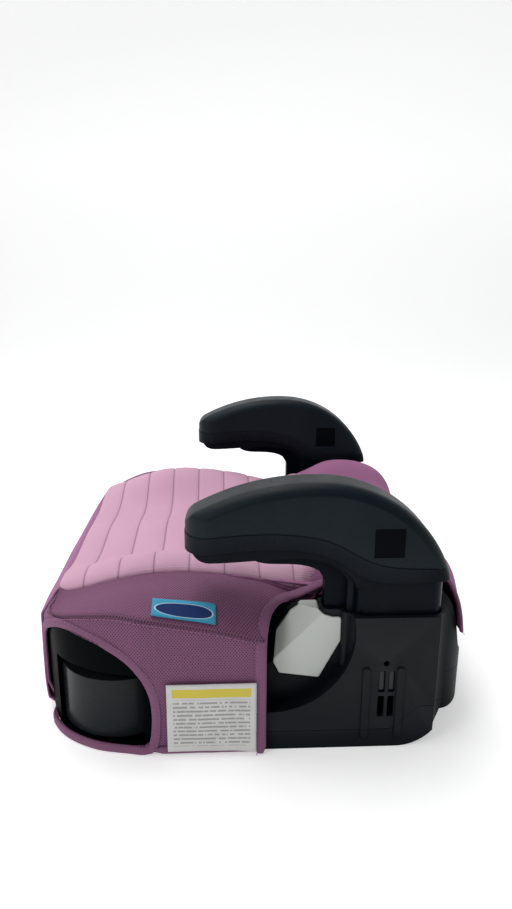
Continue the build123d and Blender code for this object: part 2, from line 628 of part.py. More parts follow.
with BuildPart() as beam_mass:
    add(slab(beam_side.sketch, COLUMN_HALF))
    with BuildPart(mode=Mode.PRIVATE) as beam_plan:
        add(leg_block(COLUMN_HALF, COLUMN_FRONT_Y, COLUMN_REAR_Y, COLUMN_CORNER, 0, 200))
        add(leg_block(COLUMN_HALF, BEAM_FRONT_Y, COLUMN_FRONT_Y + 40, BEAM_CORNER, BEAM_LOW, 200))
    add(beam_plan.part, mode=Mode.INTERSECT)

below_hollow = profile([*HOLLOW_LOW_LINE, (160, 60), (-70, 60), (-70, 180)], arm_plane())
inner_corner = COLUMN_CORNER - ARM_WALL
with BuildPart() as arm_hollow:
    add(slab(crown_face(ARM_CROWN_WALL), COLUMN_HALF - ARM_WALL))
    add(leg_block(COLUMN_HALF - ARM_WALL, ARM_TIP_Y + 4, ARM_BACK_Y + 10, 14, 145, 240), mode=Mode.INTERSECT)
    add(slab(below_hollow, COLUMN_HALF), mode=Mode.SUBTRACT)

leg_hollow = leg_block(COLUMN_HALF - ARM_WALL, COLUMN_FRONT_Y + ARM_WALL, COLUMN_REAR_Y - ARM_WALL,
                       inner_corner, LEG_BOTTOM - 5, 145)

with BuildPart() as cap_mass:
    add(arm_mass.part)
    add(slab(below_cap, BAND_HALF + 2), mode=Mode.SUBTRACT)

with BuildPart() as cap_trim:
    extrude(arm_plan.sketch, amount=260)
    add(leg_block(BAND_HALF - CAP_STEP, ARM_TIP_Y + CAP_STEP, ARM_BACK_Y - CAP_STEP, 19.4, 0, 260),
        mode=Mode.SUBTRACT)
    add(side_box(150 + CAP_STEP, 194 - CAP_STEP, 60, ARM_BACK_Y - CAP_STEP, 0, 260), mode=Mode.SUBTRACT)

with BuildPart() as armrest_cap:
    add(cap_mass.part)
    add(cap_trim.part, mode=Mode.SUBTRACT)
    add(arm_hollow.part, mode=Mode.SUBTRACT)
    for side in (1, -1):
        with Locations((ARM_X + side * (BAND_HALF - CAP_STEP), *INLAY_CENTRE)):
            Box(2 * INLAY_DEPTH, INLAY_SIZE, INLAY_SIZE, mode=Mode.SUBTRACT)
    for screw_y, seat_z, joint_z in ARM_SCREWS:
        with BuildPart(mode=Mode.PRIVATE) as cap_boss:
            with Locations((ARM_X, screw_y, joint_z + CLEAR)):
                Cylinder(ARM_BOSS_R, 80, align=(Align.CENTER, Align.CENTER, Align.MIN))
            with Locations((0, 0, -ARM_WALL / 2)):
                add(arm_mass.part, mode=Mode.INTERSECT)
        add(cap_boss.part)
        with Locations((ARM_X, screw_y, 0)):
            Cylinder(ARM_SCREW_R + 0.05, joint_z + 14, align=(Align.CENTER, Align.CENTER, Align.MIN),
                     mode=Mode.SUBTRACT)
finish_pair(armrest_cap.part, "armrest_cap")

with BuildPart() as armrest_body:
    add(arm_mass.part)
    add(beam_mass.part)
    add(cap_mass.part, mode=Mode.SUBTRACT)
    add(arm_hollow.part, mode=Mode.SUBTRACT)
    add(leg_hollow, mode=Mode.SUBTRACT)
    for screw_y, seat_z, joint_z in ARM_SCREWS:
        with BuildPart(mode=Mode.PRIVATE) as body_boss:
            with Locations((ARM_X, screw_y, seat_z - 3)):
                Cylinder(ARM_BOSS_R + 1.2, joint_z - seat_z + 3,
                         align=(Align.CENTER, Align.CENTER, Align.MIN))
        add(body_boss.part)
        with Locations((ARM_X, screw_y, seat_z)):
            Cylinder(ARM_SCREW_R + 0.15, 60, align=(Align.CENTER, Align.CENTER, Align.MIN),
                     mode=Mode.SUBTRACT)
            Cylinder(ARM_SCREW_HEAD_R + 0.3, 40, align=(Align.CENTER, Align.CENTER, Align.MAX),
                     mode=Mode.SUBTRACT)
    pad_x = (TONGUE_X[0] - 4, ARM_X + COLUMN_HALF - 1)
    for pad_y in (TONGUE_Y[0] - 5.6, TONGUE_Y[1] + 0.6):
        add(side_box(*pad_x, pad_y, pad_y + 5, PIVOT_Z - 5, PIVOT_Z + 6))
    tongue_slot = side_box(TONGUE_X[0] - 6, 200, TONGUE_Y[0] - 0.6, TONGUE_Y[1] + 0.6,
                           LEG_BOTTOM - 5, TONGUE_HIGH + 0.6)
    add(tongue_slot, mode=Mode.SUBTRACT)
    with Locations(Plane.XZ.offset(-TONGUE_Y[0] + 3.7)):
        with Locations((PIVOT_X, PIVOT_Z)):
            Cylinder(PIVOT_R + PIVOT_GAP, TONGUE_Y[1] - TONGUE_Y[0] + 7.4,
                     align=(Align.CENTER, Align.CENTER, Align.MAX), mode=Mode.SUBTRACT)
finish_pair(armrest_body.part, "armrest_body")

with BuildPart() as armrest_latch:
    add(side_box(*TONGUE_X, *TONGUE_Y, TONGUE_LOW, TONGUE_HIGH))
    for finger_y in FINGER_Y:
        add(side_box(TONGUE_X[0], FINGER_TIP_X, finger_y - FINGER_WIDTH / 2, finger_y + FINGER_WIDTH / 2,
                     FINGER_LOW, FINGER_HIGH))
    with Locations(Plane.XZ.offset(-TONGUE_Y[0] + 3.3)):
        with Locations((PIVOT_X, PIVOT_Z)):
            Cylinder(PIVOT_R, TONGUE_Y[1] - TONGUE_Y[0] + 6.6, align=(Align.CENTER, Align.CENTER, Align.MAX))
finish_pair(armrest_latch.part, "armrest_latch")

# stepped stiffening rib under the armrest and down the front of its leg
step_side = curved_profile(
    STEP_UNDER_LINE,
    [(STEP_FRONT_Y, 138), (STEP_FRONT_Y, LEG_BOTTOM), (80, LEG_BOTTOM), (80, 170)],
    arm_plane(),
)
rib_side = curved_profile(
    RIB_UNDER_LINE, [(RIB_FRONT_Y, 143), (RIB_FRONT_Y, LEG_BOTTOM), (80, LEG_BOTTOM), (80, 169)], arm_plane()
)
with BuildPart() as armrest_rib:
    add(slab(step_side, STEP_HALF))
    add(slab(rib_side, RIB_HALF))
    add(beam_mass.part, mode=Mode.SUBTRACT)
    add(arm_mass.part, mode=Mode.SUBTRACT)
finish_pair(armrest_rib.part, "armrest_rib")

with BuildPart() as armrest_inlays:
    for side in (1, -1):
        with Locations((ARM_X + side * (BAND_HALF - CAP_STEP - INLAY_DEPTH / 2), *INLAY_CENTRE)):
            Box(INLAY_DEPTH - 0.2, INLAY_SIZE - 0.3, INLAY_SIZE - 0.3)
finish_pair(armrest_inlays.part, "armrest_inlays")

with BuildPart() as armrest_screws:
    for screw_y, seat_z, joint_z in ARM_SCREWS:
        with Locations((ARM_X, screw_y, seat_z)):
            Cylinder(ARM_SCREW_HEAD_R, 2.2, align=(Align.CENTER, Align.CENTER, Align.MAX))
            Cylinder(ARM_SCREW_R, joint_z + 12 - seat_z, align=(Align.CENTER, Align.CENTER, Align.MIN))
finish_pair(armrest_screws.part, "armrest_screws")

# ---------------------------------------------------------------- padding and fabric
with BuildPart() as seat_foam:
    with Locations((0, 0, -FABRIC - CLEAR)):
        add(seat_mass.part)
    with BuildPart(mode=Mode.PRIVATE) as foam_plan:
        with BuildSketch():
            with Locations((0, 5)):
                RectangleRounded(2 * 140, 320, 35)
        extrude(amount=250)
    add(foam_plan.part, mode=Mode.INTERSECT)
    with Locations((0, 0, -SEAT_BUILDUP + CLEAR)):
        add(seat_mass.part, mode=Mode.SUBTRACT)
finish(seat_foam.part, "seat_foam")

hem_line = [(240, 0), (202, 0), (186, 3), (172, 10), (163, 18), (157, 28), (152, 42), (147.2, 54),
            (147.2, POD_REAR_Y + 0.8),
            (152.4, POD_REAR_Y + 0.8), (152.4, 260), (240, 260)]
beside_hem = extrude(profile(hem_line, Plane.XY), amount=250)
below_hip_hem = extrude(
    profile([*HIP_HEM, (177, REAR_HEM_Z - 10), (60, REAR_HEM_Z - 10)], Plane.YZ.offset(138)), amount=100
)
cup_arch = extrude(
    curved_profile(CUP_ARCH, [(-94, CUP_LOW - WINDOW_GAP), (-186, CUP_LOW - WINDOW_GAP), (-186, 84)],
                   Plane.YZ.offset(118)),
    amount=120,
)

with BuildPart() as seat_cover:
    add(seat_below(0, FABRIC + SKIRT_GAP, 0))
    add(seat_below(FABRIC, SKIRT_GAP, -1), mode=Mode.SUBTRACT)
    add(side_box(-260, 260, -260, 260, -20, COVER_LOW), mode=Mode.SUBTRACT)
    add(both_sides(beside_hem), mode=Mode.SUBTRACT)
    add(both_sides(below_hip_hem), mode=Mode.SUBTRACT)
    add(side_box(-260, 260, POD_REAR_Y - 20, 260, -20, REAR_HEM_Z), mode=Mode.SUBTRACT)
    add(both_sides(cup_arch), mode=Mode.SUBTRACT)
    add(both_sides(side_box(140, 260, 52, 80, 60, POD_TOP + 0.5)), mode=Mode.SUBTRACT)
finish(seat_cover.part, "seat_cover")

with BuildPart() as seat_insert:
    with Locations((0, 0, 1.6)):
        add(seat_mass.part)
    with BuildPart(mode=Mode.PRIVATE) as insert_plan:
        with BuildSketch() as insert_face:
            with BuildLine():
                Polyline(*INSERT_OUTLINE, close=True)
            make_face()
            mirror(about=Plane.YZ)
        extrude(amount=250)
    add(insert_plan.part, mode=Mode.INTERSECT)
    with Locations((0, 0, CLEAR / 2)):
        add(seat_mass.part, mode=Mode.SUBTRACT)
    extrude(side_face(FABRIC + SKIRT_GAP + 1.5, 0), amount=260, both=True, mode=Mode.INTERSECT)
finish(seat_insert.part, "seat_insert")

skirt_x = HALF_WIDTH + SKIRT_GAP + FABRIC
finish(side_box(skirt_x + 0.05, skirt_x + 0.5, -78, -6, 5, 67), "care_label")

with BuildPart() as side_tag:
    with Locations((0, 0, 0.7)):
        add(seat_mass.part)
    add(side_box(181, 197.5, -88.5, -38, 50, 200), mode=Mode.INTERSECT)
    with Locations((0, 0, 0.1)):
        add(seat_mass.part, mode=Mode.SUBTRACT)
finish(side_tag.part, "side_tag")

with BuildPart() as cover_loops:
    for side in (-1, 1):
        for loop_y in LOOP_Y:
            outer_x = (HALF_WIDTH - LOOP_INNER_X) + (FABRIC + SKIRT_GAP if loop_y < 0 else -6)
            with Locations((side * LOOP_INNER_X, loop_y, 0.5)):
                Box(outer_x, LOOP_WIDTH, LOOP_THICK,
                    align=(Align.MIN if side > 0 else Align.MAX, Align.CENTER, Align.MIN))
            with Locations((side * (LOOP_INNER_X + 5), loop_y, 0)):
                Cylinder(PEG_R + 0.3, 10, mode=Mode.SUBTRACT)
finish(cover_loops.part, "cover_loops")
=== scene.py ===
"""The looks of a backless booster seat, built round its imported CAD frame.

Lengths are in metres, +Z is up and the seat's front is towards -Y.
"""

import json
import math

import bpy
from mathutils import Matrix, Vector, noise
from mathutils.bvhtree import BVHTree


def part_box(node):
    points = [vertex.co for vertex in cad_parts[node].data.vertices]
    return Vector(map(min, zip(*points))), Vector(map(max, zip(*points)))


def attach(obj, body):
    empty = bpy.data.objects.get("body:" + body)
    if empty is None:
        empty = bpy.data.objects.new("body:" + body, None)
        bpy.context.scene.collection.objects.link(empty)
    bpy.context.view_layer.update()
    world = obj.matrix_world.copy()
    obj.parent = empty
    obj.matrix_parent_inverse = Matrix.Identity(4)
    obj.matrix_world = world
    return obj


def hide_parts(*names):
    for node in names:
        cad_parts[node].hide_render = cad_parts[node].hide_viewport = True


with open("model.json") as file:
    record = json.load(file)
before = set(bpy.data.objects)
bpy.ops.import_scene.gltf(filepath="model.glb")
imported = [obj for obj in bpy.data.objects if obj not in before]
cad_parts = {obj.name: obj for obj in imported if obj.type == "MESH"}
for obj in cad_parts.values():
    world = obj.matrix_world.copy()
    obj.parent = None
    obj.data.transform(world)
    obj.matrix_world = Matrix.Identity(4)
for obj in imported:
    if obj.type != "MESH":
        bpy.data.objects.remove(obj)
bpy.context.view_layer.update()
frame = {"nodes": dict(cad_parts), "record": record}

MM = 0.001
SIDES = ((1, "left"), (-1, "right"))
scene = bpy.context.scene
scene.render.fps = 24


# ---------------------------------------------------------------- materials
def shader(name, colour, roughness, metallic=0.0):
    """A material with its principled shader, ready for more nodes."""
    made = bpy.data.materials.new(name)
    made.use_nodes = True
    made.diffuse_color = (*colour, 1)
    nodes, links = made.node_tree.nodes, made.node_tree.links
    main = nodes["Principled BSDF"]
    main.inputs["Base Color"].default_value = (*colour, 1)
    main.inputs["Roughness"].default_value = roughness
    main.inputs["Metallic"].default_value = metallic
    return made, nodes, links, main


def toned(colour, factor, lift=0.0):
    """A colour made lighter or darker."""
    return tuple(min(1, c * factor + lift) for c in colour)


def maths(nodes, links, operation, first, second=None):
    """One arithmetic node; inputs are sockets or numbers."""
    node = nodes.new("ShaderNodeMath")
    node.operation = operation
    for place, value in enumerate((first, second)):
        if value is None:
            continue
        if isinstance(value, (int, float)):
            node.inputs[place].default_value = value
        else:
            links.new(value, node.inputs[place])
    return node.outputs[0]


def mixed(nodes, links, share, low, high):
    """A colour between low and high; each is a socket or a colour."""
    node = nodes.new("ShaderNodeMix")
    node.data_type = "RGBA"
    for place, value in ((6, low), (7, high)):
        if isinstance(value, tuple):
            node.inputs[place].default_value = (*value, 1)
        else:
            links.new(value, node.inputs[place])
    if isinstance(share, (int, float)):
        node.inputs[0].default_value = share
    else:
        links.new(share, node.inputs[0])
    return node.outputs[2]


def mottle(nodes, links, scale, detail=4.0, source="Object", rough=0.55):
    """Soft noise in 0..1."""
    place = nodes.new("ShaderNodeTexCoord")
    cloud = nodes.new("ShaderNodeTexNoise")
    cloud.inputs["Scale"].default_value = scale
    cloud.inputs["Detail"].default_value = detail
    cloud.inputs["Roughness"].default_value = rough
    links.new(place.outputs[source], cloud.inputs["Vector"])
    return cloud.outputs["Fac"]


def stretch(nodes, links, value, low, high, to_low=0.0, to_high=1.0):
    """A value read from low..high to to_low..to_high."""
    node = nodes.new("ShaderNodeMapRange")
    links.new(value, node.inputs["Value"])
    for name, number in (("From Min", low), ("From Max", high), ("To Min", to_low), ("To Max", to_high)):
        node.inputs[name].default_value = number
    return node.outputs["Result"]


def bumped(nodes, links, main, height, strength, distance, bevel=0.0):
    """Relief on a shader, over edges softened by bevel."""
    bump = nodes.new("ShaderNodeBump")
    bump.inputs["Strength"].default_value = strength
    bump.inputs["Distance"].default_value = distance
    links.new(height, bump.inputs["Height"])
    if bevel:
        soft = nodes.new("ShaderNodeBevel")
        soft.samples = 6
        soft.inputs["Radius"].default_value = bevel
        links.new(soft.outputs["Normal"], bump.inputs["Normal"])
    links.new(bump.outputs["Normal"], main.inputs["Normal"])


def plastic(name, colour, roughness, grain, grain_scale, rim_highlight=0.25, coat=0.0, bevel=0.0007, gleam=0.3):
    """Moulded plastic: grain, uneven gloss, fine dust and edges painted lighter as a highlight."""
    made, nodes, links, main = shader(name, colour, roughness)
    cloud = mottle(nodes, links, 9.0)
    fine = mottle(nodes, links, grain_scale, 2.0)
    edge = nodes.new("ShaderNodeNewGeometry").outputs["Pointiness"]
    # painted highlight: the sharpest edges are made lighter, standing in for thin highlights along them
    rim = stretch(nodes, links, edge, 0.52, 0.62, 0.0, rim_highlight)
    tone = mixed(nodes, links, cloud, toned(colour, 0.82), toned(colour, 1.2))
    lit = mixed(nodes, links, rim, tone, toned(colour, 2.2, 0.02))
    links.new(lit, main.inputs["Base Color"])
    gloss = stretch(nodes, links, mottle(nodes, links, 35.0), 0.3, 0.7, roughness - 0.05, roughness + 0.07)
    links.new(gloss, main.inputs["Roughness"])
    # painted shade: reflection and coat are made weaker in recesses and between parts, standing in for shade
    # there
    open_to_light = nodes.new("ShaderNodeAmbientOcclusion")
    open_to_light.samples = 8
    open_to_light.inputs["Distance"].default_value = 0.09
    shine = stretch(nodes, links, open_to_light.outputs["AO"], 0.25, 0.95, 0.0, gleam)
    if name == "base_plastic":
        # painted shade: the base's front, under the cover and seen only through the cup holder's opening, is
        # painted near black with no reflection, standing in for the deep shadow there
        spot = nodes.new("ShaderNodeSeparateXYZ")
        links.new(nodes.new("ShaderNodeTexCoord").outputs["Object"], spot.inputs["Vector"])
        shade_under_cover = stretch(nodes, links, spot.outputs["Y"], -0.085, -0.075, 0.1, 1.0)
        shine = maths(nodes, links, "MULTIPLY", shine, shade_under_cover)
        lit = mixed(nodes, links, shade_under_cover, (0.0008, 0.0012, 0.0016), lit)
        links.new(lit, main.inputs["Base Color"])
    links.new(shine, main.inputs["Specular IOR Level"])
    if coat:
        lacquer = stretch(nodes, links, open_to_light.outputs["AO"], 0.3, 0.95, 0.0, coat)
        links.new(lacquer, main.inputs["Coat Weight"])
    main.inputs["Coat Roughness"].default_value = 0.12
    bumped(nodes, links, main, fine, grain, 0.0004, bevel)
    return made


def uv_parts(nodes, links):
    """The two UV coordinates."""
    place = nodes.new("ShaderNodeUVMap")
    place.uv_map = "UVMap"
    split = nodes.new("ShaderNodeSeparateXYZ")
    links.new(place.outputs["UV"], split.inputs["Vector"])
    return split.outputs["X"], split.outputs["Y"]


def sewn(nodes, links, tone, shade=0.45):
    """A colour darkened along the piece's sewn lines: a dark seam line and painted shade in the fold beside
    it.
    """
    mark = nodes.new("ShaderNodeAttribute")
    mark.attribute_name = "seam"
    share = maths(nodes, links, "MULTIPLY", mark.outputs["Fac"], shade)
    return mixed(nodes, links, share, tone, (0.02, 0.008, 0.018))


def mesh_fabric(name, light, dark, pitch):
    """Warp-knit mesh: rows of small diamond holes; UV is in metres."""
    made, nodes, links, main = shader(name, light, 0.82)
    u, v = uv_parts(nodes, links)
    turn = 2 * math.pi / pitch
    wave_u = maths(nodes, links, "SINE", maths(nodes, links, "MULTIPLY", u, turn))
    wave_v = maths(nodes, links, "SINE", maths(nodes, links, "MULTIPLY", v, turn * 0.8))
    lattice = maths(nodes, links, "MULTIPLY", wave_u, wave_v)
    hole = stretch(nodes, links, lattice, 0.12, 0.62)
    cloud = mottle(nodes, links, 14.0)
    base = mixed(nodes, links, cloud, toned(light, 0.86), toned(light, 1.13))
    links.new(sewn(nodes, links, mixed(nodes, links, hole, base, dark)), main.inputs["Base Color"])
    main.inputs["Sheen Weight"].default_value = 0.35
    main.inputs["Sheen Roughness"].default_value = 0.4
    main.inputs["Sheen Tint"].default_value = (*toned(light, 2), 1)
    thread = maths(nodes, links, "MULTIPLY", mottle(nodes, links, 900.0, 2.0), 0.35)
    bumped(nodes, links, main, maths(nodes, links, "SUBTRACT", thread, hole), 0.75, 0.0007)
    return made


def knit(name, colour, pitch, sheen=0.4, rib=0.25, channel=None):
    """Smooth jersey or tape: fine stitches with a soft sheen; UV is in metres.

    channel is the place and the spacing of sewn lines across it.
    """
    made, nodes, links, main = shader(name, colour, 0.8)
    u, v = uv_parts(nodes, links)
    turn = 2 * math.pi / pitch
    column = maths(nodes, links, "SINE", maths(nodes, links, "MULTIPLY", u, turn))
    course = maths(nodes, links, "SINE", maths(nodes, links, "MULTIPLY", v, turn * 1.4))
    loops = maths(nodes, links, "ADD", column, maths(nodes, links, "MULTIPLY", course, 0.6))
    cloud = mottle(nodes, links, 11.0)
    tone = mixed(nodes, links, cloud, toned(colour, 0.9), toned(colour, 1.08))
    fleck = stretch(nodes, links, loops, -1.6, 1.6, 0.0, rib)
    worked = mixed(nodes, links, fleck, tone, toned(colour, 0.72))
    if channel:
        first, spacing = channel
        from_first = maths(nodes, links, "SUBTRACT", v, first)
        part = maths(nodes, links, "FRACT", maths(nodes, links, "DIVIDE", from_first, spacing))
        off_line = maths(nodes, links, "ABSOLUTE", maths(nodes, links, "SUBTRACT", part, 0.5))
        line = stretch(nodes, links, off_line, 0.5 - 0.0008 / spacing, 0.5 - 0.0003 / spacing)
        behind_first = maths(nodes, links, "GREATER_THAN", from_first, -0.004)
        line = maths(nodes, links, "MULTIPLY", line, behind_first)
        share = maths(nodes, links, "MULTIPLY", line, 0.6)
        worked = mixed(nodes, links, share, worked, (0.19, 0.08, 0.145))
    links.new(sewn(nodes, links, worked), main.inputs["Base Color"])
    main.inputs["Sheen Weight"].default_value = sheen
    main.inputs["Sheen Roughness"].default_value = 0.35
    main.inputs["Sheen Tint"].default_value = (*toned(colour, 1.5), 1)
    bumped(nodes, links, main, loops, 0.3, 0.0003)
    return made


def steel(name):
    """Bright screws with an uneven gloss."""
    made, nodes, links, main = shader(name, (0.5, 0.5, 0.52), 0.3, 1.0)
    gloss = stretch(nodes, links, mottle(nodes, links, 160.0), 0.3, 0.7, 0.24, 0.5)
    links.new(gloss, main.inputs["Roughness"])
    bumped(nodes, links, main, mottle(nodes, links, 700.0), 0.2, 0.0002)
    return made


# the quilted insert's sewn lines: the place of the first one, and their spacing
FIRST_SEAM, CHANNEL = -0.151, 0.03
BLACK = (0.0035, 0.0056, 0.0072)
look = {
    "base_plastic": plastic("base_plastic", BLACK, 0.42, 0.35, 900.0, gleam=0.15),
    "smooth_plastic": plastic(
        "smooth_plastic", (0.0016, 0.0036, 0.0066), 0.3, 0.12, 700.0, rim_highlight=0.35, gleam=0.07
    ),
    "grained_plastic": plastic("grained_plastic", (0.003, 0.0075, 0.0115), 0.38, 0.8, 1100.0, gleam=0.13),
    "inlay_plastic": plastic(
        "inlay_plastic", (0.001, 0.002, 0.0035), 0.55, 0.2, 900.0, rim_highlight=0.0, gleam=0.04
    ),
    "latch_plastic": plastic(
        "latch_plastic", (0.006, 0.008, 0.01), 0.2, 0.1, 500.0, rim_highlight=0.2, coat=0.3, bevel=0.0012
    ),
    "cup_plastic": plastic(
        "cup_plastic", (0.006, 0.0085, 0.0098), 0.26, 0.12, 500.0, rim_highlight=0.2, coat=0.06, bevel=0.0012,
        gleam=0.13
    ),
    "guide_plastic": plastic(
        "guide_plastic", (0.45, 0.48, 0.44), 0.36, 0.12, 600.0, rim_highlight=0.15, coat=0.1, bevel=0.0015,
        gleam=0.45
    ),
    "screw_steel": steel("screw_steel"),
    "foam": knit("foam", (0.62, 0.6, 0.53), 0.0016, 0.2, 0.5),
    "cover_fabric": mesh_fabric("cover_fabric", (0.222, 0.082, 0.169), (0.056, 0.018, 0.047), 0.0025),
    "insert_fabric": knit("insert_fabric", (0.61, 0.35, 0.475), 0.0011, 0.2, 0.1, (FIRST_SEAM, CHANNEL)),
    "lobe_fabric": knit("lobe_fabric", (0.32, 0.12, 0.25), 0.0012, 0.3, 0.2),
    "binding": knit("binding", (0.2, 0.075, 0.155), 0.0013, 0.25, 0.3),
    "thread": knit("thread", (0.32, 0.14, 0.27), 0.0005, 0.2, 0.3),
    "elastic": knit("elastic", (0.02, 0.018, 0.022), 0.0012, 0.2, 0.5),
}

for sub in frame["record"]["subparts"]:
    node = frame["nodes"][sub["node"]]
    node.data.materials.clear()
    slot = sub["material_slot"]
    finish = "smooth_plastic" if sub["node"].startswith(("armrest_body", "armrest_rib")) else slot
    node.data.materials.append(look.get(finish, look["elastic"]))


# ---------------------------------------------------------------- the frame's surfaces
def tree_of(node):
    """A CAD node's surface, for casting rays at it."""
    mesh = frame["nodes"][node].data
    corners = [v.co.copy() for v in mesh.vertices]
    return BVHTree.FromPolygons(corners, [list(p.vertices) for p in mesh.polygons])


cover_tree = tree_of("seat_cover")
cover_low, cover_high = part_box("seat_cover")


def outer(near, direction):
    """The outermost point of the cover on the line from near along direction."""
    reach = 0.16
    way = direction.normalized()
    hit = cover_tree.ray_cast(near + way * reach, -way, reach + 0.02)
    if hit[0] is None:
        return cover_tree.find_nearest(near)[0]
    return hit[0]


def top(x, y):
    """Height of the cover's top at a place seen from above; None beside the cover."""
    hit = cover_tree.ray_cast(Vector((x, y, 0.4)), Vector((0, 0, -1)))
    return hit[0].z if hit[0] else None


FLANK = 0.1  # length of the skirt's straight side, from its rear edge
WIDE, FRONT = cover_high.x, cover_low.y
NOSE = [
    (WIDE, -0.1), (0.9476 * WIDE, -0.1418), (0.8285 * WIDE, -0.1728), (0.602 * WIDE, -0.1922),
    (0.3 * WIDE, 0.992 * FRONT), (0.0, FRONT),
]


def along(points, share):
    """A point on a smooth curve through points, share running 0..1."""
    last = len(points) - 1
    spot = min(max(share, 0.0), 1.0) * last
    i = min(int(spot), last - 1)
    t = spot - i
    p = [Vector((*points[min(max(k, 0), last)], 0)) for k in (i - 1, i, i + 1, i + 2)]
    if i == 0:
        p[0] = 2 * p[1] - p[2]
    if i == last - 1:
        p[3] = 2 * p[2] - p[1]
    return 0.5 * ((2 * p[1]) + (p[2] - p[0]) * t + (2 * p[0] - 5 * p[1] + 4 * p[2] - p[3]) * t * t
                  + (3 * p[1] - p[0] - 3 * p[2] + p[3]) * t ** 3)


NOSE_STEPS = 200
nose_table = [along(NOSE, i / NOSE_STEPS) for i in range(NOSE_STEPS + 1)]
nose_run = [0.0]
for before, after in zip(nose_table, nose_table[1:]):
    nose_run.append(nose_run[-1] + (after - before).length)
SKIRT_END = FLANK + nose_run[-1]  # the middle of the front


def lerp(low, high, share):
    return low + (high - low) * share


def table_at(pairs, where):
    """Straight-line reading of (place, value) pairs."""
    if where <= pairs[0][0]:
        return pairs[0][1]
    for (a, x), (b, y) in zip(pairs, pairs[1:]):
        if where <= b:
            return lerp(x, y, (where - a) / (b - a))
    return pairs[-1][1]


def smooth(share):
    share = min(max(share, 0.0), 1.0)
    return share * share * (3 - 2 * share)


def outline(s):
    """The skirt's outside seen from above, s metres from its rear edge."""
    if s <= FLANK:
        return Vector((WIDE, -s, 0)), Vector((1, 0, 0))
    run = min(s - FLANK, nose_run[-1])
    i = next(k for k in range(1, NOSE_STEPS + 1) if nose_run[k] >= run - 1e-9)
    share = (run - nose_run[i - 1]) / (nose_run[i] - nose_run[i - 1])
    spot = nose_table[i - 1].lerp(nose_table[i], share)
    way = nose_table[min(i + 1, NOSE_STEPS)] - nose_table[max(i - 2, 0)]
    return spot, Vector((-way.y, way.x, 0)).normalized()


front_table = []  # (height, y) up the front of the cover
for step in range(60):
    level = 0.0035 + step * 0.002
    struck = cover_tree.ray_cast(Vector((0, -0.4, level)), Vector((0, 1, 0)))
    if struck[0] is not None and struck[0].y < -0.1755:
        front_table.append((level, struck[0].y))
front_table += [(0.118, -0.1733), (0.19, -0.1523)]


def front_y(z):
    return table_at(front_table, z)


def wall(s, z, out=0.0):
    """A point on the skirt, s along it and z up, moved out by out."""
    spot, way = outline(s)
    limit = front_y(z)
    y = spot.y
    if y < limit:
        share = smooth((limit - y) / 0.02)
        y = limit
        way = Vector((way.x * (1 - share), way.y, 0)).normalized()
    return Vector((spot.x, y, z)) + way * out


ridge_cache = {}


def ridge(s):
    """Height at which the skirt meets the seat's top."""
    key = round(s, 4)
    if key not in ridge_cache:
        spot = outline(s)[0] * 0.99
        z = 0.112
        for _ in range(6):
            z = top(spot.x, max(spot.y, front_y(z) + 0.002)) or z
        ridge_cache[key] = z
    return ridge_cache[key]


def surface(x, y, lift=0.0):
    """A point on the cover's top, x and y from above."""
    z = top(x, y)
    if z is None:
        near = cover_tree.find_nearest(Vector((x, y, 0.13)))[0]
        z = near.z
    return Vector((x, y, z + lift))


def ripple(p, size, height):
    """Small creases of cloth."""
    return noise.noise(Vector(p) / size) * height


# ---------------------------------------------------------------- building cloth
def flip(points, side):
    return [Vector((p.x * side, p.y, p.z)) for p in points]


def mesh_piece(name, points, faces, finish, uvs):
    """A named mesh with its finish, riding on the frame's base."""
    mesh = bpy.data.meshes.new(name)
    mesh.from_pydata([tuple(p) for p in points], [], faces)
    mesh.update()
    layer = mesh.uv_layers.new(name="UVMap")
    for loop in mesh.loops:
        layer.data[loop.index].uv = uvs[loop.vertex_index]
    for poly in mesh.polygons:
        poly.use_smooth = True
    mesh.materials.append(look[finish])
    made = bpy.data.objects.new(name, mesh)
    scene.collection.objects.link(made)
    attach(made, "base")
    return made


def grid_faces(rows, columns, side=1):
    faces = []
    for r in range(rows - 1):
        for c in range(columns - 1):
            a = r * columns + c
            quad = [a, a + 1, a + columns + 1, a + columns]
            faces.append(quad if side > 0 else quad[::-1])
    return faces


def sheet(name, grid, uvs, finish, side=1, thick=0.0016, seams=None):
    """A cloth panel from rows of points; side -1 gives its mirror image; seams darkens its sewn lines, a dark
    seam with painted shade beside it.
    """
    rows, columns = len(grid), len(grid[0])
    points = flip([p for row in grid for p in row], side)
    flat_uvs = [uv for row in uvs for uv in row]
    made = mesh_piece(name, points, grid_faces(rows, columns, side), finish, flat_uvs)
    if seams:
        mark = made.data.attributes.new("seam", "FLOAT", "POINT")
        mark.data.foreach_set("value", [v for row in seams for v in row])
    shell = made.modifiers.new("cloth", "SOLIDIFY")
    shell.thickness = thick
    shell.offset = -1
    return made


def smoothed_path(path, rounds=2):
    for _ in range(rounds):
        path = [path[0]] + [(a + 2 * b + c) / 4 for a, b, c in zip(path, path[1:], path[2:])] + [path[-1]]
    return path


def even_path(path, gap):
    """The same line with points gap apart."""
    run = [0.0]
    for a, b in zip(path, path[1:]):
        run.append(run[-1] + (b - a).length)
    count = max(2, int(run[-1] / gap) + 1)
    out, i = [], 1
    for k in range(count):
        want = run[-1] * k / (count - 1)
        while i < len(run) - 1 and run[i] < want:
            i += 1
        span = max(run[i] - run[i - 1], 1e-9)
        out.append(path[i - 1].lerp(path[i], (want - run[i - 1]) / span))
    return out


def frames_along(path, outward):
    """For each point: tangent, outward normal and the direction across; outward(p) points off the cloth."""
    frames = []
    for i, p in enumerate(path):
        ahead, behind = path[min(i + 1, len(path) - 1)], path[max(i - 1, 0)]
        way = (ahead - behind).normalized()
        off = outward(p)
        off = (off - way * off.dot(way)).normalized()
        frames.append((way, off, way.cross(off)))
    return frames


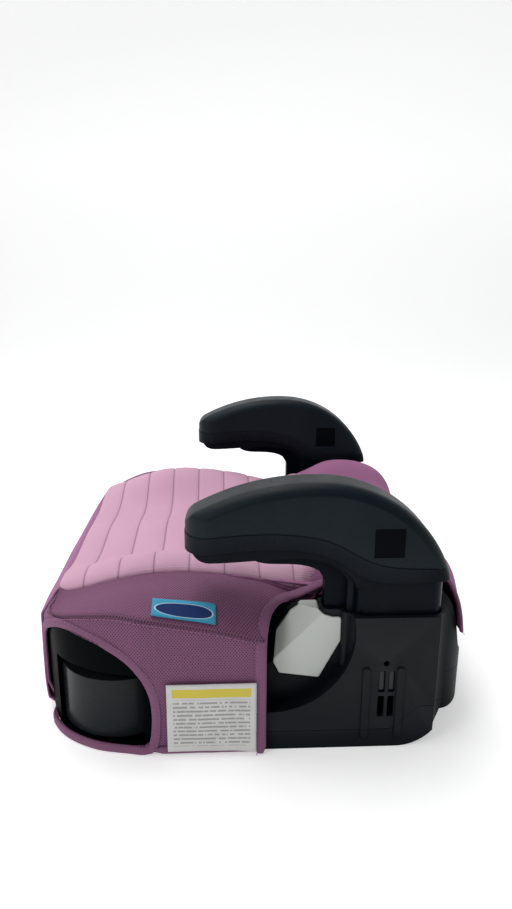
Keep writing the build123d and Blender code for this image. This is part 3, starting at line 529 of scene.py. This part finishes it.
def tape(name, path, outward, width, thick, shift=0.0, finish="binding", side=1,
         wave=0.0003):
    """A folded tape along an edge; shift moves it across the edge."""
    path = even_path(path, 0.003)
    around = 12
    points, uvs, faces = [], [], []
    run = 0.0
    frames = frames_along(path, outward)
    for i, (p, (way, off, across)) in enumerate(zip(path, frames)):
        if i:
            run += (p - path[i - 1]).length
        end = min(1.0, 0.55 + 0.45 * min(i, len(path) - 1 - i) / 2)
        for k in range(around + 1):
            turn = 2 * math.pi * k / around
            c, s = math.cos(turn), math.sin(turn)
            u = math.copysign(abs(c) ** 0.7, c) * width / 2 * end
            v = math.copysign(abs(s) ** 0.8, s) * thick / 2 * end
            spot = p + across * (shift + u) + off * v
            spot += off * ripple(spot, 0.012, wave)
            points.append(spot)
            uvs.append((run, turn * 0.0028))
    for i in range(len(path) - 1):
        for k in range(around):
            a = i * (around + 1) + k
            quad = [a, a + around + 1, a + around + 2, a + 1]
            faces.append(quad if side > 0 else quad[::-1])
    for start, turn in ((0, 1), ((len(path) - 1) * (around + 1), -1)):
        cap = [start + k for k in range(around)]
        faces.append(cap[:: turn * side])
    return mesh_piece(name, flip(points, side), faces, finish, uvs)


def stitches(name, path, outward, shift, lift, side=1):
    """A row of separate stitches beside a line, lift off the cloth."""
    long, gap, fat = 0.0024, 0.0034, 0.00032  # a stitch's length, their spacing and the thread's radius
    path = even_path(path, gap)
    points, uvs, faces = [], [], []
    for p, (way, off, across) in zip(path, frames_along(path, outward)):
        centre = p + across * shift + off * lift
        base = len(points)
        for place, size in ((-0.5, 0.35), (-0.3, 1.0), (0.3, 1.0), (0.5, 0.35)):
            for k in range(6):
                turn = math.pi * k / 3
                points.append(centre + way * long * place
                              + (across * math.cos(turn) + off * math.sin(turn)) * fat * size)
                uvs.append((place * long, turn * fat))
        for ring in range(3):
            for k in range(6):
                a, b = base + ring * 6 + k, base + ring * 6 + (k + 1) % 6
                quad = [a, b, b + 6, a + 6]
                faces.append(quad[::-1] if side < 0 else quad)
        faces.append([base + k for k in range(5, -1, -1)][:: side])
        faces.append([base + 18 + k for k in range(6)][:: side])
    return mesh_piece(name, flip(points, side), faces, "thread", uvs)


def swell(piece, pinned, pressure, limit):
    """Let a panel's cloth settle, blown up a little between its pinned seams.

    No point moves further than limit.
    """
    frames = 16
    group = piece.vertex_groups.new(name="seams")
    group.add(pinned, 1.0, "REPLACE")
    hidden = list(piece.modifiers)
    for m in hidden:
        m.show_viewport = False
    cloth = piece.modifiers.new("swell", "CLOTH")
    settings = cloth.settings
    settings.quality = 6
    settings.mass = 0.2
    settings.tension_stiffness = 18
    settings.compression_stiffness = 12
    settings.shear_stiffness = 6
    settings.bending_stiffness = 0.35
    settings.tension_damping = 12
    settings.compression_damping = 12
    settings.air_damping = 4
    settings.use_pressure = True
    settings.uniform_pressure_force = pressure
    settings.vertex_group_mass = "seams"
    settings.effector_weights.gravity = 0.0
    cloth.point_cache.frame_start = 1
    cloth.point_cache.frame_end = frames
    for f in range(1, frames + 1):
        scene.frame_set(f)
    settled = piece.evaluated_get(bpy.context.evaluated_depsgraph_get()).data
    new = [v.co.copy() for v in settled.vertices]
    piece.modifiers.remove(cloth)
    for v, spot in zip(piece.data.vertices, new):
        move = spot - v.co
        if move.length > limit:
            move *= limit / move.length
        v.co += move
    for m in hidden:
        m.show_viewport = True
    piece.data.update()
    scene.frame_set(1)


# ---------------------------------------------------------------- the cover's side panels
def s_where(test):
    """Length along the skirt at the first place of its front that passes a test."""
    return next(FLANK + run for run, spot in zip(nose_run, nose_table) if test(spot))


s_front = s_where(lambda p: p.x < 0.137)
BEFORE_OPENING = 0.0885  # length of the skirt behind the opening for the cup holder
LOW_EDGE = 0.003  # height of the skirt's low edge
TOP_HALF = 0.1472  # half the width of the cover between the armrests
INSERT_SEAM = 0.1448  # distance from the middle to the insert's straight edge
HEM = [
    (TOP_HALF, 0.054), (0.152, 0.042), (0.157, 0.028), (0.163, 0.018), (0.172, 0.010), (0.186, 0.003),
    (0.2, 0.0),
]  # x and y of the cover's edge in front of the armrest
INSERT_EDGE = [
    (INSERT_SEAM, -0.1), (INSERT_SEAM, -0.125), (0.142, -0.150), (0.138, -0.163), (0.134, -0.170),
]
ARCH = [
    (-0.1875, 0.060), (-0.186, 0.080), (-0.178, 0.095), (-0.1615, 0.1055), (-0.140, 0.1025),
    (-0.1225, 0.094), (-0.1085, 0.084), (-0.098, 0.071), (-0.0915, 0.055), (-0.0895, 0.040),
    (-0.0898, 0.026), (-0.0912, 0.0145), (-0.0934, 0.0086), (-0.0975, 0.0070), (-0.125, 0.0068),
    (-0.16, 0.0068), (-0.1875, 0.0070),
]  # y and z of the opening in front of the cup holder, front edge first


def s_of_y(y):
    """Length along the skirt at a given y."""
    if y >= -FLANK:
        return -y
    for i in range(1, NOSE_STEPS + 1):
        if nose_table[i].y <= y:
            a, b = nose_table[i - 1].y, nose_table[i].y
            return FLANK + lerp(nose_run[i - 1], nose_run[i], (y - a) / (b - a))
    return SKIRT_END


arch_line = [(s_of_y(y), z) for y, z in ARCH]


def arch_at(share, first=0, last=len(ARCH) - 1):
    """Length and height on the opening's edge, between two of its points."""
    spot = along(arch_line, lerp(first, last, share) / (len(ARCH) - 1))
    return min(spot.x, s_front), spot.y


def side_lower(side, name):
    """The upright mesh panel: behind, above and below the cup holder's opening."""
    def cloth(s, z):
        head = ridge(s)
        out = 0.0012 * math.sin(math.pi * min(1, z / head))
        out += ripple((s, z, 3.1), 0.035, 0.0009) * smooth(z / 0.03)
        out += 0.0035 * smooth((0.03 - z) / 0.03) * smooth((0.03 - s) / 0.03)
        edge = smooth((head - z) / 0.005)
        return wall(s, z, out * edge - 0.002 * (1 - edge))

    # the seam's dark line and painted shade in the fold under it
    def dark(s, z):
        return math.exp(-(((ridge(s) - z) / 0.002) ** 2))

    def line(start, end, count):
        shares = [q / count for q in range(count + 1)]
        return [(lerp(start[0], end[0], t), lerp(start[1], end[1], t)) for t in shares]

    split, rearmost = BEFORE_OPENING, 0.042  # where the blocks meet behind the opening
    turn_up, turn_down = 9, 3  # the opening's points at its rear and at its front
    behind = []
    for c in range(27):
        s = split * c / 26
        behind.append([(s, lerp(LOW_EDGE, ridge(s), r / 33)) for r in range(34)])
    over = []
    for k in range(61):
        share = k / 60
        if share < 0.3:
            high = (split, lerp(rearmost, ridge(split), share / 0.3))
        else:
            s = lerp(split, s_front, (share - 0.3) / 0.7)
            high = (s, ridge(s))
        over.append(line(arch_at(1 - share, turn_down, turn_up), high, 14))
    front = []
    for k in range(21):
        share = k / 20
        high = (s_front, lerp(ridge(s_front), 0.06, share))
        front.append(line(arch_at(1 - share, 0, turn_down), high, 4))
    under = []
    for k in range(41):
        share = k / 40
        if share < 0.25:
            rim = (split, lerp(rearmost, LOW_EDGE, share / 0.25))
        else:
            rim = (lerp(split, s_front, (share - 0.25) / 0.75), LOW_EDGE)
        under.append(line(arch_at(share, turn_up), rim, 5)[::-1])
    for number, block in enumerate((behind, over, front, under), 1):
        grid = [[cloth(s, z) for s, z in row] for row in block]
        uvs = [[(s, z) for s, z in row] for row in block]
        shade = [[dark(s, z) for s, z in row] for row in block]
        sheet(f"{name}_{number}", grid, uvs, "cover_fabric", side, seams=shade)


def hem_y(x):
    return table_at(HEM, x)


def side_upper(side, name):
    """The sloping mesh panel between the side seam and the insert."""
    rows, columns = 64, 26
    grid, uvs, seams = [], [], []
    for r in range(rows + 1):
        s = s_front * r / rows
        rim = wall(s, ridge(s))
        if s <= FLANK:
            inner = (INSERT_SEAM, -s)
        else:
            spot = along(INSERT_EDGE, (s - FLANK) / (s_front - FLANK))
            inner = (spot.x, spot.y)
        row, row_uv, row_seam = [], [], []
        for c in range(columns + 1):
            t = c / columns
            x, y = lerp(rim.x, inner[0], t), lerp(rim.y, inner[1], t)
            if s <= FLANK:
                y += hem_y(x) * (1 - s / FLANK)
            p = surface(min(x, WIDE - 0.0006), y)
            if c == 0:
                p = Vector((x, y, rim.z))
            middle = math.sin(math.pi * t)
            bulge = 0.0022 * middle ** 0.7 + ripple((x, y, 7.7), 0.04, 0.0011) * middle
            p.z += bulge - (0.002 if c == 0 else 0)
            row.append(p)
            row_uv.append((s if s > FLANK else -y, 0.2 + t * 0.06))
            # the seam's dark line and painted shade in the fold beside it, along the panel's outer edge
            row_seam.append(1.0 if c == 0 else (0.25 if c == 1 else 0.0))
        grid.append(row)
        uvs.append(row_uv)
        seams.append(row_seam)
    made = sheet(name, grid, uvs, "cover_fabric", side, seams=seams)
    edge = [r * (columns + 1) + c for r in range(rows + 1) for c in range(columns + 1)
            if r in (0, rows) or c in (0, columns)]
    swell(made, edge, 1.2, 0.004)


for side, word in SIDES:
    side_lower(side, f"cover_side_{word}")
    side_upper(side, f"cover_slope_{word}")


# ---------------------------------------------------------------- the front panel
def front_panel():
    """The upright front, turned in under the insert."""
    rows, half = 36, 34
    spread = [s_front + (SKIRT_END - s_front) * k / half for k in range(half + 1)]
    order = [(s, 1) for s in spread] + [(s, -1) for s in reversed(spread[:-1])]
    grid, uvs = [], []
    for r in range(rows + 7):
        row, row_uv = [], []
        for s, side in order:
            head = ridge(s) - 0.0005
            across = (SKIRT_END - s) * side
            if r <= rows:
                z = lerp(LOW_EDGE, head, r / rows)
                out = 0.0015 * math.sin(math.pi * r / rows)
                out += ripple((across, z, 1.3), 0.05, 0.0012) * smooth(z / 0.03)
                p = wall(s, z, out)
            else:
                p = wall(s, head)
                p = surface(p.x, p.y + 0.003 * (r - rows), 0.0002)
            row.append(Vector((p.x * side, p.y, p.z)))
            row_uv.append((across, 0.003 * r))
        grid.append(row)
        uvs.append(row_uv)
    sheet("cover_front", grid, uvs, "lobe_fabric")


front_panel()


# ---------------------------------------------------------------- the rear panel with its two hip lobes
REAR_PIVOT = Vector((0, 0.1, 0.06))
REAR_LOW = 0.077  # height of the rear hem
REAR_FIRST, REAR_LAST = math.radians(158), math.radians(14)  # first and lowest directions from the pivot


def rear_point(x, turn):
    """The cover over the rear at x, turn radians up from straight back."""
    level = smooth((math.degrees(turn) - 28) / 14)
    start = Vector((min(x, lerp(0.134, 0.1466, level)), REAR_PIVOT.y, REAR_PIVOT.z))
    p = outer(start, Vector((0, math.cos(turn), math.sin(turn))))
    p.x = x
    return p


def rear_panel():
    """The top behind the armrests and the part that hangs down the back."""
    rows, half = 70, 44
    grid, uvs = [], []
    for r in range(rows + 1):
        row, row_uv = [], []
        turn = lerp(REAR_FIRST, REAR_LAST, min(1, r / (rows - 1)))
        middle = rear_point(0, turn)
        for c in range(-half, half + 1):
            share = abs(c) / half
            reach = TOP_HALF + 0.0035 * smooth((middle.y - 0.15) / 0.03)
            x = reach * share ** 0.85
            p = rear_point(x, turn)
            if r == rows:
                p.z = REAR_LOW
            across = x if c > 0 else -x
            lift = ripple((across, p.y, 5.5), 0.045, 0.0012) * smooth(min(1, (1 - share) * 8))
            away = Vector((0, math.cos(turn), math.sin(turn)))
            hip = smooth((x - 0.1) / 0.02) * smooth((TOP_HALF - x) / 0.02)
            puff = 0.004 * hip * smooth((p.y - 0.07) / 0.03)
            p = Vector((across, p.y, p.z)) + away * (lift + puff)
            row.append(p)
            row_uv.append((p.x, r * 0.0045))
        grid.append(row)
        uvs.append(row_uv)
    for _ in range(2):
        old = [[p.copy() for p in row] for row in grid]
        for r in range(1, len(grid) - 1):
            for c in range(1, len(grid[0]) - 1):
                near = old[r - 1][c] + old[r + 1][c] + old[r][c - 1] + old[r][c + 1]
                grid[r][c] = old[r][c] * 0.5 + near * 0.125
    made = sheet("cover_rear", grid, uvs, "lobe_fabric", -1)
    for v in made.data.vertices:  # back from its mirror image, so that only its faces are turned
        v.co.x = -v.co.x


rear_panel()

# ---------------------------------------------------------------- the quilted insert
INSERT_HALF = [
    (-0.176, 0.124), (-0.1745, 0.132), (-0.170, 0.1375), (-0.158, 0.1425), (-0.12, 0.1455), (0.02, 0.1455),
    (0.038, 0.1425), (0.052, 0.134), (0.068, 0.119), (0.088, 0.105), (0.12, 0.096), (0.164, 0.091),
]
EDGE_ROLL, INSERT_LOFT = 0.0075, 0.0048


def insert_piece():
    """A padded sheet sewn across in channels, its edge rolled down to the cover."""
    curve = [(p.x, p.y) for p in (along(INSERT_HALF, k / 90) for k in range(91))]
    step = 0.0025
    low, high = -0.176, 0.164
    rows = int(round((high - low) / step))
    half = 58
    grid, uvs, seams = [], [], []
    for r in range(rows + 1):
        y = low + (high - low) * r / rows
        reach = table_at(curve, y)
        to_end = min(y - low, high - y)
        offset = (y - FIRST_SEAM) % CHANNEL
        from_seam = min(offset, CHANNEL - offset)
        row, row_uv, row_seam = [], [], []
        for c in range(-half, half + 1):
            share = abs(c) / half
            share = 1 - (1 - share) ** 1.25
            x = reach * share * (1 if c > 0 else -1)
            p = surface(x, y)
            inside = min(reach - abs(x), to_end)
            roll = min(1.0, inside / EDGE_ROLL)
            loft = INSERT_LOFT * math.sqrt(max(0.0, 1 - (1 - roll) ** 2))
            puff = 0.0006 * math.sin(math.pi * from_seam / CHANNEL)
            groove = 0.0009 * math.exp(-((from_seam / 0.0013) ** 2))
            if y < FIRST_SEAM - 0.02:
                groove = 0.0
            p.z += loft + (puff - groove) * roll + ripple((x, y, 2.2), 0.03, 0.0006) * roll
            row.append(p)
            row_uv.append((x, y))
            # the sewn lines' dark thread and painted shade in their grooves
            row_seam.append(0.35 * math.exp(-((from_seam / 0.001) ** 2)) if groove else 0.0)
        grid.append(row)
        uvs.append(row_uv)
        seams.append(row_seam)
    made = sheet("quilted_insert", grid, uvs, "insert_fabric", 1, 0.0012, seams)
    wide = 2 * half + 1
    pinned = [r * wide + c for r in range(rows + 1) for c in range(wide)
              if r in (0, rows) or c in (0, wide - 1) or seams[r][c] > 0.2]
    swell(made, pinned, 1.2, 0.0022)


insert_piece()


# ---------------------------------------------------------------- tapes, seams and stitches
def upright(p):
    """Which way the cover faces near its trimmed edges."""
    if p.y > 0.16 and p.z < 0.118:
        return Vector((0.05, 1, 0.15))
    if p.y > 0.04:
        back = smooth((p.y - 0.14) / 0.03)
        return Vector((0.12, 0.9 * back, 1.0 - 0.6 * back))
    if p.z > ridge(0) - 0.002:
        return Vector((0.25, -0.1, 1))
    return Vector((1, 0.0, 0))


def edge_path():
    """The cover's free edge: up the skirt's rear, round the armrest and down the hip to the rear hem."""
    path = [wall(0, z) + Vector((0.0035 * smooth((0.03 - z) / 0.03) + 0.0006, 0, 0))
            for z in (0.0015, 0.01, 0.02, 0.04, 0.06, 0.08, 0.095)]
    path.append(Vector((WIDE - 0.0006, 0, ridge(0) - 0.003)))
    for x, y in reversed(HEM[:-1]):
        path.append(surface(x, y + 0.0004, 0.0004))
    for y in (0.064, 0.075, 0.085, 0.095, 0.105, 0.115, 0.125, 0.135, 0.143, 0.15):
        path.append(surface(0.1466, y, 0.0006))
        path[-1].x = 0.1476
    for turn in (50, 42, 35, 29, 24, 19, 14.5):
        p = rear_point(0.1500, math.radians(turn))
        path.append(Vector((0.1500, p.y + 0.0004, p.z)))
    path.append(Vector((0.1497, path[-1].y, REAR_LOW)))
    return smoothed_path(even_path(path, 0.004), 3)


def skirt_normal(p):
    """Outward on the skirt."""
    s = s_of_y(p.y)
    return outline(s)[1]


LOW_TAPE = (0.0065, 0.0028)  # width and thickness of the tape along the skirt's low edge


def low_path(start, end, count):
    """The middle of the tape along the skirt's low edge."""
    return [wall(lerp(start, end, k / count), 0.0046, 0.0012) for k in range(count + 1)]


def arch_path():
    """The opening's edge, from its low front corner."""
    path = []
    for k in range(121):
        s, z = arch_at(k / 120)
        path.append(wall(s, z, 0.0006))
    return [wall(s_front, 0.004, 0.0006), wall(s_front, 0.03, 0.0006)] + path


def seam_path(down):
    """A line below the seam between the upright and the sloping panel."""
    return [wall(s_front * k / 60, ridge(s_front * k / 60) - down, 0.0003) for k in range(61)]


for side, word in SIDES:
    free_edge = edge_path()
    tape(f"edge_binding_{word}", free_edge, upright, 0.0095, 0.0036, -0.0026, side=side)
    stitches(f"edge_stitches_{word}", free_edge, upright, -0.0056, 0.0016, side)
    hips = [p for p in free_edge if p.y > 0.07]
    stitches(f"hip_stitches_{word}", hips, upright, -0.0125, 0.0022, side)
    arch = arch_path()
    tape(f"opening_binding_{word}", arch, skirt_normal, 0.0078, 0.0032, -0.0029, side=side)
    stitches(f"opening_stitches_{word}", arch, skirt_normal, -0.0056, 0.0012, side)
    low_edge = low_path(0.001, BEFORE_OPENING, 40)
    tape(f"skirt_hem_{word}", low_edge, skirt_normal, LOW_TAPE[0], LOW_TAPE[1], side=side)
    stitches(f"seam_stitches_{word}", seam_path(0.0036), skirt_normal, 0.0, 0.0009, side)

front_low = low_path(s_front, SKIRT_END, 30)
front_low += [Vector((-p.x, p.y, p.z)) for p in reversed(front_low[:-1])]
tape("front_hem", front_low, lambda p: Vector((0, -1, -0.2)), LOW_TAPE[0], LOW_TAPE[1])
rear_low = [Vector((x * MM, rear_point(abs(x) * MM, REAR_LAST).y + 0.0014, REAR_LOW + 0.0025))
            for x in range(-148, 149, 4)]
tape("rear_hem", rear_low, lambda p: Vector((0, 1, 0.1)), 0.0085, 0.0032)
stitches("rear_hem_stitches", rear_low, lambda p: Vector((0, 1, 0.1)), -0.0052, 0.0014)


# ---------------------------------------------------------------- the loops under the base
def hem_loops():
    """Elastic tapes that hold the skirt's low edge under the base."""
    low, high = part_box("cover_loops")
    middle = (low.z + high.z) / 2
    for side, word in SIDES:
        for number, y in enumerate((low.y + 0.006, high.y - 0.006), 1):
            path = []
            for k in range(13):
                path.append(Vector((lerp(0.166, high.x, k / 12), y, middle + 0.0002 * math.sin(k))))
            strap = tape(f"hem_loop_{word}_{number}", path, lambda p: Vector((0, 0, -1)), 0.0115, 0.0011,
                         finish="elastic", side=side, wave=0.0001)
            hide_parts("cover_loops")


hem_loops()


# ---------------------------------------------------------------- foam, label and tag
def foam_pad():
    """The foam under the cover: rounded, a little uneven, kept inside its frame's shape."""
    source = frame["nodes"]["seat_foam"]
    mesh = source.data.copy()
    mesh.name = "foam_pad"
    pad = bpy.data.objects.new("foam_pad", mesh)
    scene.collection.objects.link(pad)
    bpy.context.view_layer.objects.active = pad
    cells = pad.modifiers.new("cells", "REMESH")
    cells.mode = "VOXEL"
    cells.voxel_size = 0.006
    ease = pad.modifiers.new("ease", "SMOOTH")
    ease.iterations = 4
    done = bpy.data.meshes.new_from_object(pad.evaluated_get(bpy.context.evaluated_depsgraph_get()))
    pad.modifiers.clear()
    pad.data = done
    for v in pad.data.vertices:
        v.co += v.normal * (ripple(v.co, 0.02, 0.0005) - 0.0008)
    layer = pad.data.uv_layers.new(name="UVMap")
    for loop in pad.data.loops:
        spot = pad.data.vertices[loop.vertex_index].co
        layer.data[loop.index].uv = (spot.x, spot.y)
    for poly in pad.data.polygons:
        poly.use_smooth = True
        poly.material_index = 0
    pad.data.materials.clear()
    pad.data.materials.append(look["foam"])
    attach(pad, "base")
    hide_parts("seat_foam")


def printed_label():
    """Printed satin tape: a yellow band over rows of plain grey bars inside a plain margin, no lettering."""
    made, nodes, links, main = shader("printed_label", (0.78, 0.78, 0.76), 0.55)
    u, v = uv_parts(nodes, links)

    def band(value, low, high):
        above = maths(nodes, links, "GREATER_THAN", value, low)
        return maths(nodes, links, "MULTIPLY", above, maths(nodes, links, "LESS_THAN", value, high))

    paper = mixed(nodes, links, mottle(nodes, links, 60.0), (0.5, 0.5, 0.49), (0.66, 0.66, 0.64))
    head = maths(nodes, links, "MULTIPLY", band(u, 0.06, 0.94), band(v, 0.80, 0.93))
    inside = maths(nodes, links, "MULTIPLY", band(u, 0.07, 0.93), band(v, 0.08, 0.77))
    line = maths(nodes, links, "SINE", maths(nodes, links, "MULTIPLY", v, 2 * math.pi * 17))
    words = nodes.new("ShaderNodeTexNoise")
    words.inputs["Scale"].default_value = 1.0
    place = nodes.new("ShaderNodeCombineXYZ")
    links.new(maths(nodes, links, "MULTIPLY", u, 26.0), place.inputs["X"])
    row = maths(nodes, links, "FLOOR", maths(nodes, links, "MULTIPLY", v, 17.0))
    links.new(maths(nodes, links, "MULTIPLY", row, 7.3), place.inputs["Y"])
    links.new(place.outputs["Vector"], words.inputs["Vector"])
    gaps = maths(nodes, links, "GREATER_THAN", words.outputs["Fac"], 0.43)
    ink = maths(nodes, links, "MULTIPLY", maths(nodes, links, "GREATER_THAN", line, 0.1), gaps)
    ink = maths(nodes, links, "MULTIPLY", maths(nodes, links, "MULTIPLY", ink, inside), 0.62)
    tone = mixed(nodes, links, ink, paper, (0.12, 0.12, 0.13))
    tone = mixed(nodes, links, head, tone, (0.60, 0.49, 0.035))
    links.new(tone, main.inputs["Base Color"])
    main.inputs["Sheen Weight"].default_value = 0.2
    bumped(nodes, links, main, mottle(nodes, links, 500.0), 0.2, 0.0003)
    return made


def woven_tag():
    """Woven blue tape with a plain navy lozenge, edged in white thread."""
    made, nodes, links, main = shader("woven_tag", (0.05, 0.33, 0.52), 0.6)
    u, v = uv_parts(nodes, links)
    across = maths(nodes, links, "MULTIPLY", maths(nodes, links, "SUBTRACT", u, 0.5), 2.16)
    down = maths(nodes, links, "MULTIPLY", maths(nodes, links, "SUBTRACT", v, 0.47), 2.75)
    wide = maths(nodes, links, "POWER", maths(nodes, links, "ABSOLUTE", across), 2.6)
    tall = maths(nodes, links, "POWER", maths(nodes, links, "ABSOLUTE", down), 2.0)
    power = maths(nodes, links, "ADD", wide, tall)
    slant = maths(nodes, links, "MULTIPLY", maths(nodes, links, "ADD", u, v), 420.0)
    thread = maths(nodes, links, "SINE", slant)
    base = mixed(nodes, links, stretch(nodes, links, thread, -1, 1), (0.035, 0.27, 0.45), (0.075, 0.42, 0.62))
    ring = mixed(nodes, links, maths(nodes, links, "LESS_THAN", power, 1.0), base, (0.55, 0.72, 0.80))
    navy = mixed(nodes, links, maths(nodes, links, "LESS_THAN", power, 0.88), ring, (0.008, 0.03, 0.13))
    links.new(navy, main.inputs["Base Color"])
    main.inputs["Specular IOR Level"].default_value = 0.15
    bumped(nodes, links, main, thread, 0.4, 0.0003)
    return made


look["printed_label"] = printed_label()
look["woven_tag"] = woven_tag()


def care_label():
    """The label hanging in front of the skirt's rear edge."""
    low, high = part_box("care_label")
    columns, rows = 30, 26
    grid, uvs = [], []
    for r in range(rows + 1):
        row, row_uv = [], []
        for c in range(columns + 1):
            y = lerp(low.y, high.y, c / columns)
            z = lerp(low.z, high.z, r / rows)
            out = 0.0042 + 0.0035 * smooth((0.03 - z) / 0.03) * smooth((0.03 + y) / 0.03)
            out += ripple((y, z, 9.1), 0.02, 0.0007)
            row.append(wall(s_of_y(y), z, out))
            row_uv.append((c / columns, r / rows))
        grid.append(row)
        uvs.append(row_uv)
    label = sheet("care_label_cloth", grid, uvs, "printed_label", 1, 0.0005)
    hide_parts("care_label")


def side_tag():
    """The woven tag on the sloping panel."""
    low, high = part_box("side_tag")
    columns, rows = 26, 8
    grid, uvs = [], []
    for r in range(rows + 1):
        row, row_uv = [], []
        for c in range(columns + 1):
            y = lerp(low.y, high.y, c / columns)
            x = lerp(high.x, low.x, r / rows)
            p = surface(x, y, 0.0036 + ripple((x, y, 4.4), 0.02, 0.0006))
            row.append(p)
            row_uv.append((c / columns, r / rows))
        grid.append(row)
        uvs.append(row_uv)
    tag = sheet("side_tag_cloth", grid, uvs, "woven_tag", 1, 0.0007)
    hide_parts("side_tag")


foam_pad()
care_label()
side_tag()
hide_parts("seat_insert")
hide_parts("seat_cover")


# ---------------------------------------------------------------- stage, light and camera
def backdrop():
    """A pale floor that curves up into a pale wall behind the seat."""
    reach, back, bend, tall = 6.0, -1.6, 0.8, 3.2
    profile = [(2.5, 0.0), (back, 0.0)]
    for k in range(1, 13):
        turn = k * math.pi / 24
        profile.append((back - bend * math.sin(turn), bend - bend * math.cos(turn)))
    profile.append((back - bend, tall))
    points = [(x, y, z) for x, z in profile for y in (-reach, reach)]
    faces = [(2 * i, 2 * i + 1, 2 * i + 3, 2 * i + 2) for i in range(len(profile) - 1)]
    mesh = bpy.data.meshes.new("backdrop")
    mesh.from_pydata(points, [], faces)
    for poly in mesh.polygons:
        poly.use_smooth = True
    made, nodes, links, main = shader("backdrop", (0.84, 0.84, 0.84), 0.9)
    main.inputs["Specular IOR Level"].default_value = 0.0
    main.inputs["Emission Color"].default_value = (1, 1, 1, 1)
    main.inputs["Emission Strength"].default_value = 0.42
    mesh.materials.append(made)
    stage = bpy.data.objects.new("backdrop", mesh)
    scene.collection.objects.link(stage)


def soft_light(name, spot, aim, size, watts):
    """A wide lamp at spot, turned towards aim."""
    data = bpy.data.lights.new(name, "AREA")
    data.shape = "RECTANGLE"
    data.size, data.size_y = size
    data.energy = watts
    lamp = bpy.data.objects.new(name, data)
    scene.collection.objects.link(lamp)
    lamp.location = spot
    lamp.rotation_euler = (Vector(aim) - Vector(spot)).to_track_quat("-Z", "Y").to_euler()


backdrop()
world = bpy.data.worlds.new("studio")
scene.world = world
world.use_nodes = True
nodes, links = world.node_tree.nodes, world.node_tree.links
nodes["Background"].inputs["Color"].default_value = (0.97, 0.98, 1.0, 1)
seen = nodes.new("ShaderNodeLightPath").outputs["Is Camera Ray"]
pale = stretch(nodes, links, seen, 0.0, 1.0, 0.34, 0.95)
links.new(pale, nodes["Background"].inputs["Strength"])
soft_light("overhead", (-0.25, -0.35, 1.6), (0, 0, 0.1), (1.1, 0.9), 17)
soft_light("front_side", (1.3, -1.3, 1.3), (0.05, -0.02, 0.1), (0.7, 0.7), 9)

# the camera, fitted to the outline of the seat
EYE = (0.6801, -0.0316, 0.3862)
YAW, PITCH, ROLL = 0.04999, 0.26716, 0.00679
forward = Vector((-math.cos(YAW) * math.cos(PITCH), math.sin(YAW) * math.cos(PITCH), -math.sin(PITCH)))
right = forward.cross(Vector((0, 0, 1))).normalized()
up = right.cross(forward)
right, up = right * math.cos(ROLL) + up * math.sin(ROLL), up * math.cos(ROLL) - right * math.sin(ROLL)
data = bpy.data.cameras.new("camera")
data.sensor_width = 36
data.lens = 27.05
camera = bpy.data.objects.new("camera", data)
scene.collection.objects.link(camera)
camera.matrix_world = Matrix((
    (right.x, up.x, -forward.x, EYE[0]), (right.y, up.y, -forward.y, EYE[1]),
    (right.z, up.z, -forward.z, EYE[2]), (0, 0, 0, 1),
))
scene.camera = camera
scene.view_settings.view_transform = "Standard"
